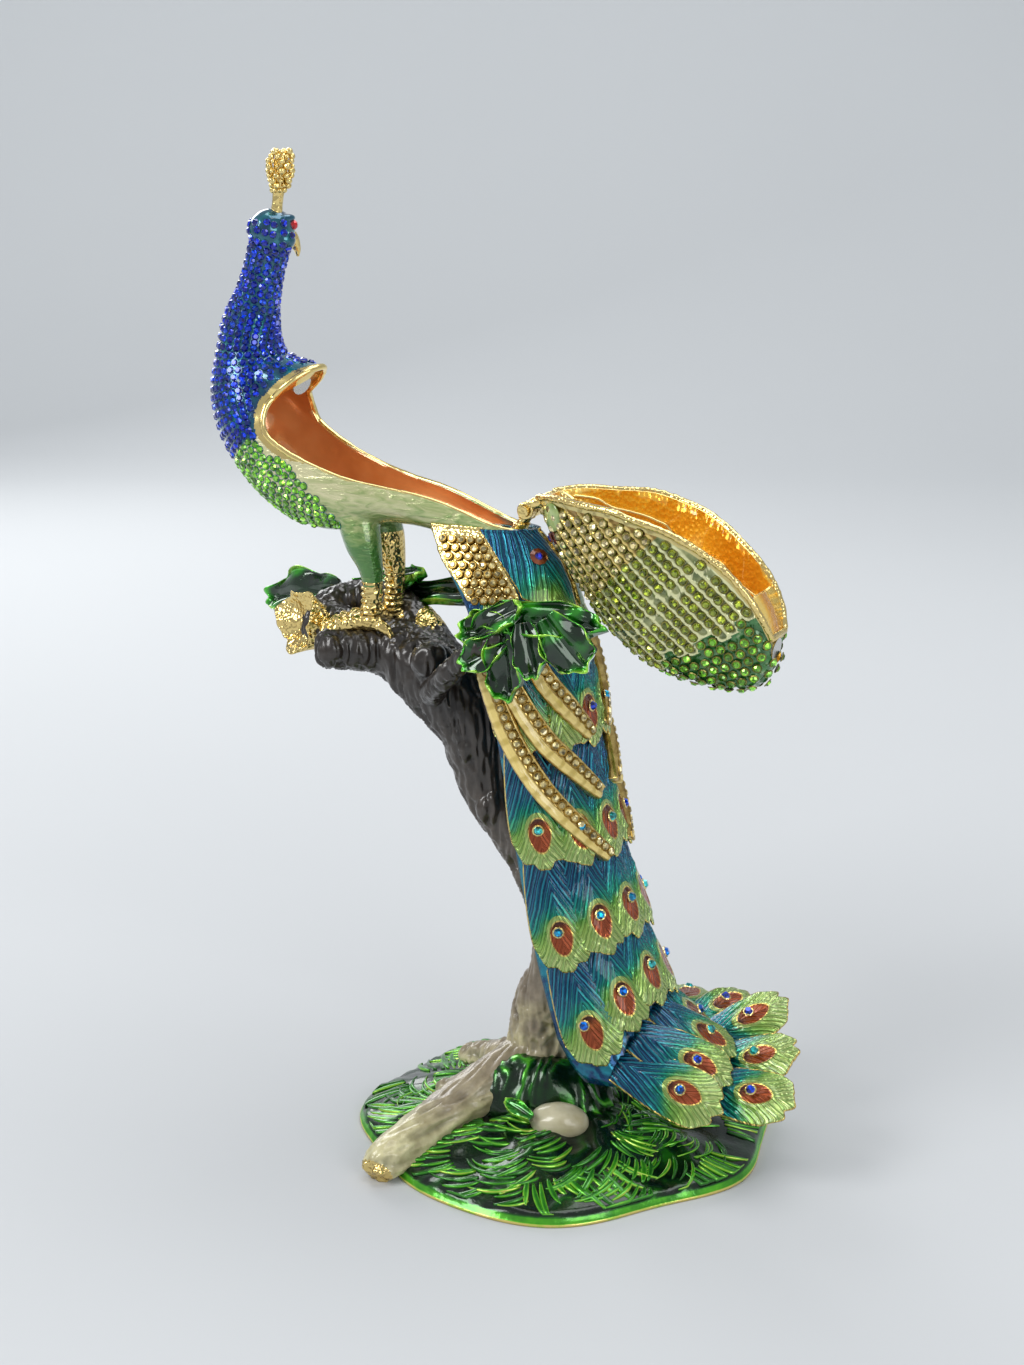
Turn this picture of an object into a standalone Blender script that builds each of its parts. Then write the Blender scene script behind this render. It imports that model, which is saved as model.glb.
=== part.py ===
"""A peacock figurine with a hinged lid in its back, perched on a tree stump with a grassy base.

Metres, +Z up. The origin is the middle of the flat underside. The bird faces -X, its left side is -Y,
and its train falls behind the trunk on the +X side. The lid is placed open, turned back about its hinge.
"""

import math
import bpy
import bmesh
from mathutils import Matrix, Vector
from mathutils.bvhtree import BVHTree

for old in list(bpy.data.objects):
    bpy.data.objects.remove(old, do_unlink=True)

# Driving sizes
FIGURE_HEIGHT = 0.240
MM = FIGURE_HEIGHT / 240
BODY_WALL = 0.0014
LID_WALL = 0.0013
CLEARANCE = 0.0004
BARREL_RADIUS = 0.0021
BARREL_LENGTH = 0.0040
PIN_RADIUS = 0.0007
PIN_PLAY = 0.0003
PIN_HEAD = 0.0007
MAGNET_RADIUS = 0.0028
MAGNET_THICKNESS = 0.0013
EYE_RADIUS = 0.0012
TRAIN_STONE_RADIUS = 0.0014
TRAIN_THICKNESS = 0.0024
FEATHER_THICKNESS = 0.0016

# Casting resolution: the voxel that fuses the raw shapes, and the triangles each casting keeps
CAST_VOXEL = 0.0007
PEACOCK_TRIANGLES = 3300
TREE_TRIANGLES = 2350

# The opening's rim in side view, from the hinge to the apex at the neck
RIM = [
    (-11.5, 151.2),
    (-16, 152),
    (-20, 153),
    (-30, 156.5),
    (-37.5, 158.4),
    (-46, 159.7),
    (-56, 161.7),
    (-67, 165.5),
    (-72, 168),
    (-75.8, 170.7),
    (-77.2, 173.7),
    (-77, 178),
    (-74.6, 180.8),
    (-72.4, 182.8),
    (-70, 184.9),
    (-67.7, 186.5),
]
# The hinge stands behind the rim's rear end and above it
HINGE_BEHIND_RIM, HINGE_ABOVE_RIM = 1.9, 5.4
HINGE = Vector((RIM[0][0] + HINGE_BEHIND_RIM, 0, RIM[0][1] + HINGE_ABOVE_RIM)) * MM

parts = bpy.data.collections.new("peacock_figurine")
helpers = bpy.data.collections.new("cutters")
bpy.context.scene.collection.children.link(parts)
bpy.context.scene.collection.children.link(helpers)


def material(name, colour, roughness, metallic):
    made = bpy.data.materials.new(name)
    made.use_nodes = True
    shader = made.node_tree.nodes["Principled BSDF"]
    shader.inputs["Base Color"].default_value = (*colour, 1)
    shader.inputs["Roughness"].default_value = roughness
    shader.inputs["Metallic"].default_value = metallic
    return made


BLUE_ENAMEL = material("blue_enamel", (0.02, 0.12, 0.35), 0.2, 0.6)
TREE_ENAMEL = material("tree_enamel", (0.05, 0.12, 0.03), 0.25, 0.3)
LID_ENAMEL = material("lid_enamel", (0.30, 0.42, 0.12), 0.25, 0.4)
GOLD = material("gold_plate", (0.80, 0.62, 0.22), 0.2, 1.0)
SILVER = material("nickel_magnet", (0.75, 0.75, 0.74), 0.25, 1.0)
RED_STONE = material("red_stone", (0.60, 0.01, 0.02), 0.05, 0.0)
BLUE_STONE = material("blue_stone", (0.02, 0.10, 0.60), 0.05, 0.0)


def place(name, mesh, finish, collection=parts):
    made = bpy.data.objects.new(name, mesh)
    collection.objects.link(made)
    if finish:
        mesh.materials.clear()
        mesh.materials.append(finish)
    return made


def cutter(name, mesh):
    made = place(name, mesh, None, helpers)
    made.hide_render = True
    made.display_type = "WIRE"
    return made


def smooth_path(points, steps):
    """Catmull-Rom curve through points of any number of values."""
    path = []
    last = len(points) - 1
    for i in range(last):
        a, b, c, d = (points[max(0, min(last, k))] for k in (i - 1, i, i + 1, i + 2))
        for s in range(steps):
            t = s / steps
            path.append(
                tuple(
                    0.5 * (2 * q + (r - p) * t + (2 * p - 5 * q + 4 * r - u) * t**2 + (3 * q - p - 3 * r + u) * t**3)
                    for p, q, r, u in zip(a, b, c, d)
                )
            )
    path.append(tuple(points[last]))
    return path


def value_at(table, key):
    """Straight-line value of a table of (key, value) pairs, keys rising."""
    if key <= table[0][0]:
        return table[0][1]
    for (k0, v0), (k1, v1) in zip(table, table[1:]):
        if key <= k1:
            return v0 + (v1 - v0) * (key - k0) / (k1 - k0)
    return table[-1][1]


def loft(rings):
    """A closed mesh over rings of as many points each, with its ends capped."""
    shape = bmesh.new()
    rows = [[shape.verts.new(p) for p in ring] for ring in rings]
    for lower, upper in zip(rows, rows[1:]):
        count = len(lower)
        for i in range(count):
            shape.faces.new((lower[i], lower[(i + 1) % count], upper[(i + 1) % count], upper[i]))
    shape.faces.new(rows[0][::-1])
    shape.faces.new(rows[-1])
    bmesh.ops.recalc_face_normals(shape, faces=shape.faces)
    mesh = bpy.data.meshes.new("loft")
    shape.to_mesh(mesh)
    shape.free()
    return mesh


def limb(points, sides=12, steps=4, grow=0.0, side=Vector((0, 1, 0))):
    """A round-ended loft along (x, y, z, radius) or (x, y, z, side radius, up radius) points, in mm."""
    path = smooth_path([p if len(p) == 5 else (*p, p[3]) for p in points], steps)
    rings = []
    for i, (x, y, z, wide, tall) in enumerate(path):
        before, after = path[max(0, i - 1)], path[min(len(path) - 1, i + 1)]
        along = Vector([after[k] - before[k] for k in range(3)]).normalized()
        across = (side - along * side.dot(along)).normalized()
        up = along.cross(across)
        centre = Vector((x, y, z)) * MM
        for back, share in end_rings(i, len(path)):
            start = centre + along * back * tall * MM
            rings.append(
                [
                    start
                    + across * math.cos(turn) * (wide * MM * share + grow)
                    + up * math.sin(turn) * (tall * MM * share + grow)
                    for turn in (2 * math.pi * k / sides for k in range(sides))
                ]
            )
    return loft(rings)


def end_rings(i, count):
    """Where a limb's rings lie at a path point: its two ends get extra ones that round them off."""
    if i == 0:
        return ((-0.75, 0.45), (-0.45, 0.8), (0, 1))
    if i == count - 1:
        return ((0, 1), (0.45, 0.8), (0.75, 0.45))
    return ((0, 1),)


def ball(centre, radii, turn=0.0, segments=14):
    shape = bmesh.new()
    bmesh.ops.create_uvsphere(shape, u_segments=segments, v_segments=segments // 2 + 1, radius=1)
    shape.transform(
        Matrix.Translation(Vector(centre) * MM)
        @ Matrix.Rotation(turn, 4, "Z")
        @ Matrix.Diagonal((*(r * MM for r in radii), 1))
    )
    mesh = bpy.data.meshes.new("ball")
    shape.to_mesh(mesh)
    shape.free()
    return mesh


def cylinder(radius, length, axis="Y", segments=16):
    shape = bmesh.new()
    bmesh.ops.create_cone(
        shape, cap_ends=True, segments=segments, radius1=radius, radius2=radius, depth=length
    )
    if axis == "Y":
        shape.transform(Matrix.Rotation(math.pi / 2, 4, "X"))
    mesh = bpy.data.meshes.new("cylinder")
    shape.to_mesh(mesh)
    shape.free()
    return mesh


def leaf(root, direction, normal, length, width, thickness, outline, lift=0.0, cup=0.15, steps=9, across=4):
    """A feather or leaf as a closed plate: its outline is a function of the share along it.

    lift bends the tip along the normal, and cup bows the plate across. All in metres.
    """
    along = direction.normalized()
    up = (normal - along * normal.dot(along)).normalized()
    sideways = along.cross(up)
    faces = []
    for height in (0.5, -0.5):
        grid = []
        for i in range(steps + 1):
            share = i / steps
            half = width / 2 * outline(share)
            row = []
            for k in range(-across, across + 1):
                offset = k / across
                bow = -cup * width * offset * offset * outline(share)
                edge = 1 - 0.5 * abs(offset) ** 3
                row.append(
                    root
                    + along * length * (share + tip_scallop(share, offset))
                    + sideways * half * offset
                    + up * (lift * length * share * share + bow + height * thickness * edge)
                )
            grid.append(row)
        faces.append(grid)
    top, bottom = faces
    rings = [upper + lower[::-1] for upper, lower in zip(top, bottom)]
    return loft(rings)


def tip_scallop(share, offset):
    """Rounds a feather's end and notches it into lobes."""
    lobes = 0.025 * math.cos(3 * math.pi * offset)
    return (share**4) * (lobes - 0.14 * offset * offset)


def feather_outline(share):
    return 0.5 + 0.5 * math.sin(math.pi * min(1.0, 0.1 + 0.55 * share))


def leaf_outline(share):
    return max(0.12, math.sin(math.pi * (0.08 + 0.88 * share)) ** 0.8)


def cast(name, meshes, finish, triangles):
    """Fuses overlapping closed shapes into one casting and thins it to its triangle budget."""
    shape = bmesh.new()
    for mesh in meshes:
        shape.from_mesh(mesh)
        bpy.data.meshes.remove(mesh)
    joined = bpy.data.meshes.new(name)
    shape.to_mesh(joined)
    shape.free()
    made = place(name, joined, finish)
    fuse = made.modifiers.new("fuse", "REMESH")
    fuse.mode = "VOXEL"
    fuse.voxel_size = CAST_VOXEL
    fused = evaluated(made)
    thin = made.modifiers.new("thin", "DECIMATE")
    thin.ratio = min(1.0, triangles / (2 * len(fused.polygons)))
    bpy.data.meshes.remove(fused)
    settled = evaluated(made)
    made.modifiers.clear()
    made.data = settled
    settled.materials.clear()
    settled.materials.append(finish)
    return made


def evaluated(made):
    """The object's mesh with its modifiers applied."""
    graph = bpy.context.evaluated_depsgraph_get()
    return bpy.data.meshes.new_from_object(made.evaluated_get(graph), depsgraph=graph)


def cut(made, tool, operation="DIFFERENCE"):
    change = made.modifiers.new(tool.name, "BOOLEAN")
    change.operation = operation
    change.object = tool
    change.solver = "EXACT"


def keep_main_body(made):
    """Applies the cuts and drops the specks that they left loose."""
    mesh = evaluated(made)
    made.modifiers.clear()
    made.data = mesh
    shape = bmesh.new()
    shape.from_mesh(mesh)
    left = set(shape.verts)
    bodies = []
    while left:
        body, edge = set(), [left.pop()]
        while edge:
            point = edge.pop()
            body.add(point)
            near = {link.other_vert(point) for link in point.link_edges} & left
            left -= near
            edge.extend(near)
        bodies.append(body)
    bodies.sort(key=len)
    specks = [point for body in bodies[:-1] for point in body]
    bmesh.ops.delete(shape, geom=specks, context="VERTS")
    shape.to_mesh(mesh)
    shape.free()


def prism(outline, depth):
    """A side-view (x, z) outline in mm drawn out along Y, depth metres to each side."""
    rings = [[Vector((x * MM, y, z * MM)) for x, z in outline] for y in (-depth, depth)]
    return loft(rings)


# The bird
# Body and neck in one run, from the tail root forward and up to the head: x, y, z, side radius, up radius
BODY_RUN = [
    (-9, 0, 148.2, 4.2, 3.0),
    (-16, 0, 149.8, 5.6, 4.2),
    (-28, 0, 153.0, 7.0, 5.2),
    (-38, 0, 155.6, 8.4, 6.2),
    (-47, 0, 157.0, 9.8, 7.4),
    (-56, 0, 158.0, 11.6, 11.2),
    (-66, 0, 160.5, 12.6, 14.2),
    (-75, 0, 165.5, 13.2, 14.2),
    (-83, 0, 173.0, 12.8, 12.6),
    (-86.6, 0, 181.5, 10.8, 11.0),
    (-87.8, 0, 190.5, 7.9, 7.9),
    (-87.0, 0, 197.0, 6.6, 6.6),
    (-85.0, 0, 203.0, 5.2, 5.2),
    (-82.8, 0, 210.0, 4.6, 4.6),
    (-80.4, 0, 217.0, 4.8, 4.8),
]
BACK_SHOULDER = [(-80, 0, 183, 9.0, 6.0), (-75, 0, 181.5, 8.8, 6.2), (-69.5, 0, 180.6, 7.6, 6.2)]
HOLLOW_RUN = [p for p in BODY_RUN if -84 < p[0] < -15 and p[2] < 176]
HEAD = (-80.4, 0, 218.6)
HEAD_TURN = math.radians(72)
CREST = [(-79.3, 0, 221, 1.9), (-78.6, 0, 225, 1.6), (-77.9, 0, 230, 2.3), (-77.1, 0, 235, 2.8), (-76.7, 0, 237.4, 2.0)]


def head_shapes():
    """The head looks back over the right shoulder, with a beak that points down."""
    facing = Vector((math.cos(HEAD_TURN), math.sin(HEAD_TURN), 0))
    left = Vector((-facing.y, facing.x, 0))
    centre = Vector(HEAD)
    beak_root = centre + facing * 3.4 + Vector((0, 0, -0.6))
    beak = [
        (*beak_root, 2.2, 2.2),
        (*(beak_root + facing * 2.6 + Vector((0, 0, -1.6))), 1.7, 1.8),
        (*(beak_root + facing * 4.2 + Vector((0, 0, -4.2))), 0.9, 1.0),
        (*(beak_root + facing * 4.4 + Vector((0, 0, -5.8))), 0.5, 0.5),
    ]
    yield ball(HEAD, (6.0, 4.9, 5.2), HEAD_TURN)
    yield limb(beak, sides=10, side=left)
    for side in (-1, 1):
        cheek = centre + left * 4.3 * side + facing * 1.0 + Vector((0, 0, -2.2))
        yield ball(cheek, (2.4, 1.8, 2.2), HEAD_TURN)


def leg_shapes(side):
    """One leg: a feathered thigh, a scaly shank, a spur and toes that grip the branch stub."""
    y = 5.5 * side
    ankle = (-50.6, y, 132.5)
    foot = (-52.2, y, 125.2)
    yield limb([(-55, 4.5 * side, 150.5, 5.2), (-53, y, 145, 4.6), (-51.2, y, 139.5, 3.2), (*ankle, 2.4)])
    yield limb([(*ankle, 2.4), (-51.4, y, 129, 2.3), (*foot, 2.7)])
    for turn in (-34, 0, 34):
        out = Vector((-math.cos(math.radians(turn)), math.sin(math.radians(turn)), 0))
        start = Vector(foot)
        toe = [
            (*start, 2.1),
            (*(start + out * 4.6 + Vector((0, 0, -0.2))), 1.9),
            (*(start + out * 7.6 + Vector((0, 0, -1.8))), 1.6),
            (*(start + out * 8.6 + Vector((0, 0, -4.2))), 1.0),
        ]
        yield limb(toe, sides=8, steps=3)
    yield limb([(*foot, 1.8), (foot[0] + 4.5, y, foot[2] - 1, 1.4), (foot[0] + 6.6, y, foot[2] - 3, 0.8)], sides=8)


# The train: a half tube, open to the trunk, given by its edge line's x, its depth and its half width at each z
TRAIN_TOP, TRAIN_FOOT = 151, 22
EDGE_X = [(15, 23), (25, 12.0), (31, 7.6), (46, 2.6), (58, -0.8), (66, -2.6), (78, -5.0), (92, -7.6), (104, -9.8)]
EDGE_X += [(116, -12.4), (126, -15), (134, -18.5), (139, -22), (144, -27), (151, -31)]
DEPTH = [(15, 21.5), (25, 21), (31, 20), (46, 18.6), (58, 17.5), (66, 16.8), (78, 15.8), (104, 15.0)]
DEPTH += [(116, 15.6), (126, 17), (134, 20), (139, 22), (144, 24.5), (151, 22)]
HALF_WIDTH = [(15, 20), (25, 19.5), (31, 19), (46, 18.2), (66, 17.4), (92, 17.2), (116, 17.2), (126, 16.5)]
HALF_WIDTH += [(134, 15.2), (139, 13.5), (144, 11.0), (151, 6.5)]


def train_point(z, turn):
    """The half tube's outer face at height z and turn (radians from +X, the bird's left negative), in mm."""
    return Vector(
        (
            value_at(EDGE_X, z) + value_at(DEPTH, z) * math.cos(turn),
            value_at(HALF_WIDTH, z) * math.sin(turn),
            z,
        )
    )


def train_frame(z, turn):
    """The face's point with its outward normal and the way down it."""
    here = train_point(z, turn)
    down = (train_point(z - 2, turn) - train_point(z + 2, turn)).normalized()
    around = (train_point(z, turn + 0.05) - train_point(z, turn - 0.05)).normalized()
    return here * MM, around.cross(-down).normalized(), down


def train_sheet():
    """The curved shell that carries the feathers."""
    levels, turns = 18, 12
    rings = []
    for i in range(levels + 1):
        z = TRAIN_TOP + (TRAIN_FOOT - TRAIN_TOP) * i / levels
        outer, inner = [], []
        for k in range(turns + 1):
            turn = math.radians(-92 + 184 * k / turns)
            here, out, _ = train_frame(z, turn)
            outer.append(here)
            inner.append(here - out * TRAIN_THICKNESS)
        rings.append(outer + inner[::-1])
    return loft(rings)


# Feather rows down the train: height of the outer tips, how much higher the middle ones are, length and width;
# and the turns of the feathers in a row
ROW_TIPS = [(127, 0, 22, 13), (101, 0, 29, 14), (74, 0, 31, 14.5), (49, 5, 30, 15), (26.5, 11, 28, 15.5)]
ROW_TURNS = (-67, -37, -8, 21, 50, 79)
EYE_FROM_TIP = 9.5
# The fan at the foot: each feather's root, tip and the way it faces
FAN = [
    ((12, 20, 30), (4, 34, 20), (-0.3, 0.7, 0.6)),
    ((19, 20, 29), (20, 40, 22), (0.1, 0.6, 0.8)),
    ((26.6, 15, 28), (36, 33, 27), (0.25, 0.1, 1)),
    ((30, 8, 25.5), (50, 24, 31.5), (0.1, -0.35, 0.9)),
    ((33, 2, 24), (60, 4.5, 28), (0.0, -0.5, 0.85)),
    ((36, -8, 24), (63.6, -8, 21.5), (0.15, -0.6, 0.8)),
    ((24.0, 8, 41), (33, 14, 24), (0.9, 0.3, 0.4)),
    ((27.5, -2, 40), (43, 4, 24.5), (0.75, 0.0, 0.65)),
    ((26.5, -13, 36), (46, -6, 22.5), (0.6, -0.45, 0.65)),
    ((23, -19, 30), (47.5, -15, 19.5), (0.4, -0.7, 0.6)),
]
FAN_WIDTH = 14.5
FAN_EYE_SHARE = 0.6
# Slim feathers laid over the upper train, each a run of (height, turn)
SLIM_RUNS = [
    [(122, -86), (117, -83), (105, -75), (93, -59), (83, -38), (74.7, -18)],
    [(124, -72), (117, -68), (105, -52), (97, -33), (89.7, -14)],
    [(126, -52), (119, -45), (111, -29), (104, -13)],
]


def row_tip(row, turn):
    """The height of a feather's tip: a row may arch up towards its middle."""
    tip_z, rise, _, _ = row
    return tip_z + rise * max(0, math.cos(1.3 * math.radians(turn)))


def row_feathers():
    """Overlapping feathers, row above row like shingles."""
    for row in ROW_TIPS:
        _, _, length, width = row
        for turn in ROW_TURNS:
            tip_z = row_tip(row, turn)
            here, out, _ = train_frame(tip_z + length, math.radians(turn))
            tip, tip_out, _ = train_frame(tip_z, math.radians(turn))
            along = tip + tip_out * FEATHER_THICKNESS - here
            yield leaf(here, along, out, along.length, width * MM, FEATHER_THICKNESS, feather_outline, 0.05)


def slim_feathers():
    """Narrow stone-set feathers that run down and round the upper train, alike on both sides."""
    for run in SLIM_RUNS:
        for side in (1, -1):
            path = []
            for z, turn in run:
                here, out, _ = train_frame(z, math.radians(turn * side))
                path.append((*((here + out * FEATHER_THICKNESS) / MM), 2.1, 1.2))
            yield limb(path, sides=8, side=Vector((0.3, 0.2 * side, 1)))


def fan_feathers():
    """The lowest feathers sweep outwards over the base's edge."""
    for root, tip, facing in FAN:
        start = Vector(root) * MM
        along = Vector(tip) * MM - start
        out = Vector(facing)
        yield leaf(start, along, out, along.length, FAN_WIDTH * MM, FEATHER_THICKNESS, feather_outline, 0.06, 0.1)


# The tree
TRUNK = [
    (-6, -1, 4, 12.5),
    (-5.5, 0, 14, 10.5),
    (-5.6, 0, 24, 8.8),
    (-5.2, 0, 32, 7.6),
    (-2.8, 0, 40, 6.2),
    (-3.2, 0, 52, 5.6),
    (-6.5, 0, 63, 5.8),
    (-11.5, 0, 72, 6.0),
    (-17, 0, 79, 6.4),
    (-21.5, 0, 86, 6.8),
    (-23.8, 0, 94, 7.8),
    (-25.5, 0, 101, 8.8),
    (-30.5, 0, 107, 9.6),
    (-36.5, 0, 112, 9.6),
]
BRANCH = [(-33, 0, 109, 8.4), (-40, 0, 114.5, 8.6), (-50, 0.5, 117.5, 7.2), (-62, 1.5, 118.5, 6.6)]
BRANCH += [(-72, 3, 120.5, 7.2), (-80, 4.5, 122.5, 9.0)]
STUB = [(-50, -2, 117.5, 5.4), (-54.5, -6.5, 118.4, 5.0), (-59.5, -11.5, 118.8, 4.7)]
KNOB = [(-33, -3, 114, 6), (-32, -9, 118.0, 4.8), (-31.6, -12, 119.6, 4.0)]
BACK_BRANCH = [(-38, 3, 116, 6), (-44, 9, 121, 5.0), (-52, 13, 126, 4.2), (-60, 15, 129, 3.4)]
FRONT_ROOT = [(-7, -4, 16, 7.5), (-15, -14, 11, 6.6), (-20.5, -27, 7.4, 5.8), (-24, -40, 5.0, 5.4), (-26, -47, 3.6, 4.6)]
LEFT_ROOT = [(-8, 2, 14, 7), (-20, 6, 9, 5), (-32, 10, 5, 3.6)]
RIGHT_ROOT = [(-4, 3, 12, 7), (8, 12, 8, 5), (18, 22, 5, 3.6)]
TWIG = [(-34, -5, 110, 3.6), (-29, -14, 113, 2.6), (-22, -21, 119, 2.3), (-14, -24.5, 126, 2.2), (-6, -24.5, 131, 2.0)]
GROUND_REACH = (51.5, 46.0)
GROUND_TURN = math.radians(27)
GROUND_CENTRE = (2.3, -4.5)
GROUND_EDGE = 2.4
GROUND_CROWN = 9.5


def ground():
    """A low irregular mound with raised tufts of grass."""
    rings_count, spokes = 9, 44
    rings = []
    for i in range(rings_count + 1):
        share = 1 - i / rings_count
        ring = []
        for k in range(spokes):
            turn = 2 * math.pi * k / spokes
            reach = 1 + 0.035 * math.sin(3 * turn + 0.6) + 0.02 * math.sin(7 * turn) - 0.025 * math.cos(5 * turn)
            x = GROUND_REACH[0] * reach * share * math.cos(turn)
            y = GROUND_REACH[1] * reach * share * math.sin(turn)
            blades = 0.9 * math.sin(11 * turn + 5 * share) * math.sin(math.pi * share) * (1 if i else 0)
            z = GROUND_EDGE + (GROUND_CROWN - GROUND_EDGE) * (1 - share**2.2) + blades
            across = Vector((x, y, z))
            across.rotate(Matrix.Rotation(GROUND_TURN, 3, "Z"))
            ring.append((across + Vector((*GROUND_CENTRE, 0))) * MM)
        rings.append(ring)
    under = [Vector((p.x, p.y, -2 * MM)) for p in rings[0]]
    return loft([under] + rings[:-1])


LEAF_THICKNESS = 1.7
LEAVES = [
    # root, direction, facing, length, width, lift
    ((-73, 12, 125.5), (-26, 2, -2), (0.1, -0.55, 0.85), 29, 17, -0.15),
    ((-54, 14, 128), (26, 0, 2), (0, -0.6, 0.8), 27, 10, 0.1),
    ((-68, 13, 128), (18, 1, 3), (0, -0.5, 0.9), 22, 10, 0.1),
    ((-9, -24, 131), (-11, -1, 0), (-0.1, -0.9, 0.5), 14, 17, -0.15),
    ((-9, -25, 131), (8, -2, 10), (-0.2, -0.8, 0.6), 17, 16, -0.3),
    ((-6, -25, 132), (22, 2, 4), (0.1, -0.8, 0.6), 25, 17, -0.25),
    ((-6, -25, 130), (16, -1, -6), (0.2, -1, 0.1), 19, 15, 0.05),
    ((-8, -25, 129), (5, -1, -11), (0.1, -1, 0.0), 16, 15, 0.05),
    ((-10, -25, 130), (-6, -1, -9), (-0.3, -1, 0.1), 14, 14, 0.05),
]


def tree_shapes():
    yield ground()
    for run in (TRUNK, BRANCH, STUB, KNOB, BACK_BRANCH, FRONT_ROOT, LEFT_ROOT, RIGHT_ROOT, TWIG):
        yield limb(run)
    yield ball((7.5, -19, 9.5), (7.2, 5.2, 4.6), math.radians(20))
    for root, direction, normal, length, width, lift in LEAVES:
        yield leaf(
            Vector(root) * MM,
            Vector(direction),
            Vector(normal),
            length * MM,
            width * MM,
            LEAF_THICKNESS * MM,
            leaf_outline,
            lift,
            0.2,
        )


tree = cast("tree", tree_shapes(), TREE_ENAMEL, TREE_TRIANGLES)
UNDER_REACH = FIGURE_HEIGHT / MM
under_outline = [(-UNDER_REACH, 0), (UNDER_REACH, 0), (UNDER_REACH, -UNDER_REACH), (-UNDER_REACH, -UNDER_REACH)]
under_mesh = prism(under_outline, FIGURE_HEIGHT)
cut(tree, cutter("flat_underside", under_mesh))
keep_main_body(tree)


def peacock_shapes():
    yield limb(BODY_RUN, sides=24)
    yield limb(BACK_SHOULDER, sides=16)
    yield limb(CREST, sides=10)
    yield from head_shapes()
    for side in (-1, 1):
        yield from leg_shapes(side)
    yield train_sheet()
    yield from row_feathers()
    yield from slim_feathers()
    yield from fan_feathers()


# The hinge: one barrel on the body between two on the lid, with a pin through all three
BODY_BARREL_ARM = [(-15, 0, 149.5, 1.9, 1.6), (-12.5, 0, 152.6, 1.7, 1.3), (-10.2, 0, 155.8, 1.6, 1.3)]
LID_BARREL_LENGTH = 0.0020
LID_BARREL_Y = BARREL_LENGTH / 2 + CLEARANCE + LID_BARREL_LENGTH / 2
PIN_LENGTH = 2 * (LID_BARREL_Y + LID_BARREL_LENGTH / 2 + CLEARANCE)

peacock = cast("peacock", peacock_shapes(), BLUE_ENAMEL, PEACOCK_TRIANGLES)
hollow = limb(HOLLOW_RUN, sides=16, steps=2, grow=-BODY_WALL)
cut(peacock, cutter("hollow", hollow))
opening = RIM + [(-64, 196), (10, 196), (10, 151.2)]
cut(peacock, cutter("opening", prism(opening, 0.03)))
TREE_ROOMS = {"branch": BRANCH, "stub": STUB, "trunk": TRUNK[5:], "knob": KNOB, "back_branch": BACK_BRANCH}
for name, run in TREE_ROOMS.items():
    cut(peacock, cutter(name + "_room", limb(run, steps=3, grow=CLEARANCE + CAST_VOXEL / 2)))


def pivot_cutter(name, mesh):
    made = cutter(name, mesh)
    made.location = HINGE
    return made


cut(peacock, cutter("barrel_arm", limb(BODY_BARREL_ARM, sides=8, steps=2)), "UNION")
cut(peacock, pivot_cutter("body_barrel", cylinder(BARREL_RADIUS, BARREL_LENGTH)), "UNION")
bore_mesh = cylinder(PIN_RADIUS + PIN_PLAY, 2 * BARREL_LENGTH)
cut(peacock, pivot_cutter("body_bore", bore_mesh))

# The magnet set in the front of the opening, under the apex, faces back to the lid's tip
MAGNET_FROM_RIM, MAGNET_ASIDE = (1.2, 0.8), 0.6
rim_x, rim_height = RIM[-4]
BODY_MAGNET = Vector((rim_x + MAGNET_FROM_RIM[0], MAGNET_ASIDE, rim_height + MAGNET_FROM_RIM[1])) * MM
BODY_MAGNET_FACING = Vector((0.90, -0.22, -0.38)).normalized()


def disc_at(radius, depth, centre, facing, segments=16):
    mesh = cylinder(radius, depth, axis="Z", segments=segments)
    mesh.transform(Matrix.Translation(centre) @ Vector((0, 0, 1)).rotation_difference(facing).to_matrix().to_4x4())
    return mesh


POCKET_REACH = 0.006
pocket_centre = BODY_MAGNET + BODY_MAGNET_FACING * (POCKET_REACH - MAGNET_THICKNESS - CLEARANCE) / 2
pocket_depth = POCKET_REACH + MAGNET_THICKNESS + CLEARANCE
pocket = disc_at(MAGNET_RADIUS + CLEARANCE, pocket_depth, pocket_centre, BODY_MAGNET_FACING)
cut(peacock, cutter("magnet_pocket", pocket))
magnet_mesh = disc_at(
    MAGNET_RADIUS,
    MAGNET_THICKNESS,
    BODY_MAGNET - BODY_MAGNET_FACING * MAGNET_THICKNESS / 2,
    BODY_MAGNET_FACING,
)
place("body_magnet", magnet_mesh, SILVER)

# The lid, in its own frame: its origin is on the hinge axis, its length runs along +X and it is turned over,
# with its back down. Each station has the rim's (x, z), the back's (x, z) and the half width, in mm.
LID_STATIONS = [
    (3.5, 3.6, 5.5, -3.0, 4.5),
    (9.6, 4.4, 9.0, -10.5, 8.0),
    (17.8, 4.1, 15.0, -18.3, 11.0),
    (25.4, 3.9, 21.0, -25.8, 13.0),
    (31.6, 2.4, 29.0, -32.3, 13.6),
    (38.6, 0.4, 37.5, -35.8, 12.8),
    (44.6, -2.6, 45.5, -37.4, 11.3),
    (49.3, -5.8, 51.5, -37.6, 10.0),
    (53.5, -9.2, 56.0, -37.0, 9.0),
    (57.5, -13.8, 59.0, -35.5, 8.0),
    (60.3, -18.8, 60.8, -33.0, 6.5),
    (61.8, -23.5, 61.9, -30.5, 4.2),
]
LID_END_WALL = 2.6


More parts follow.
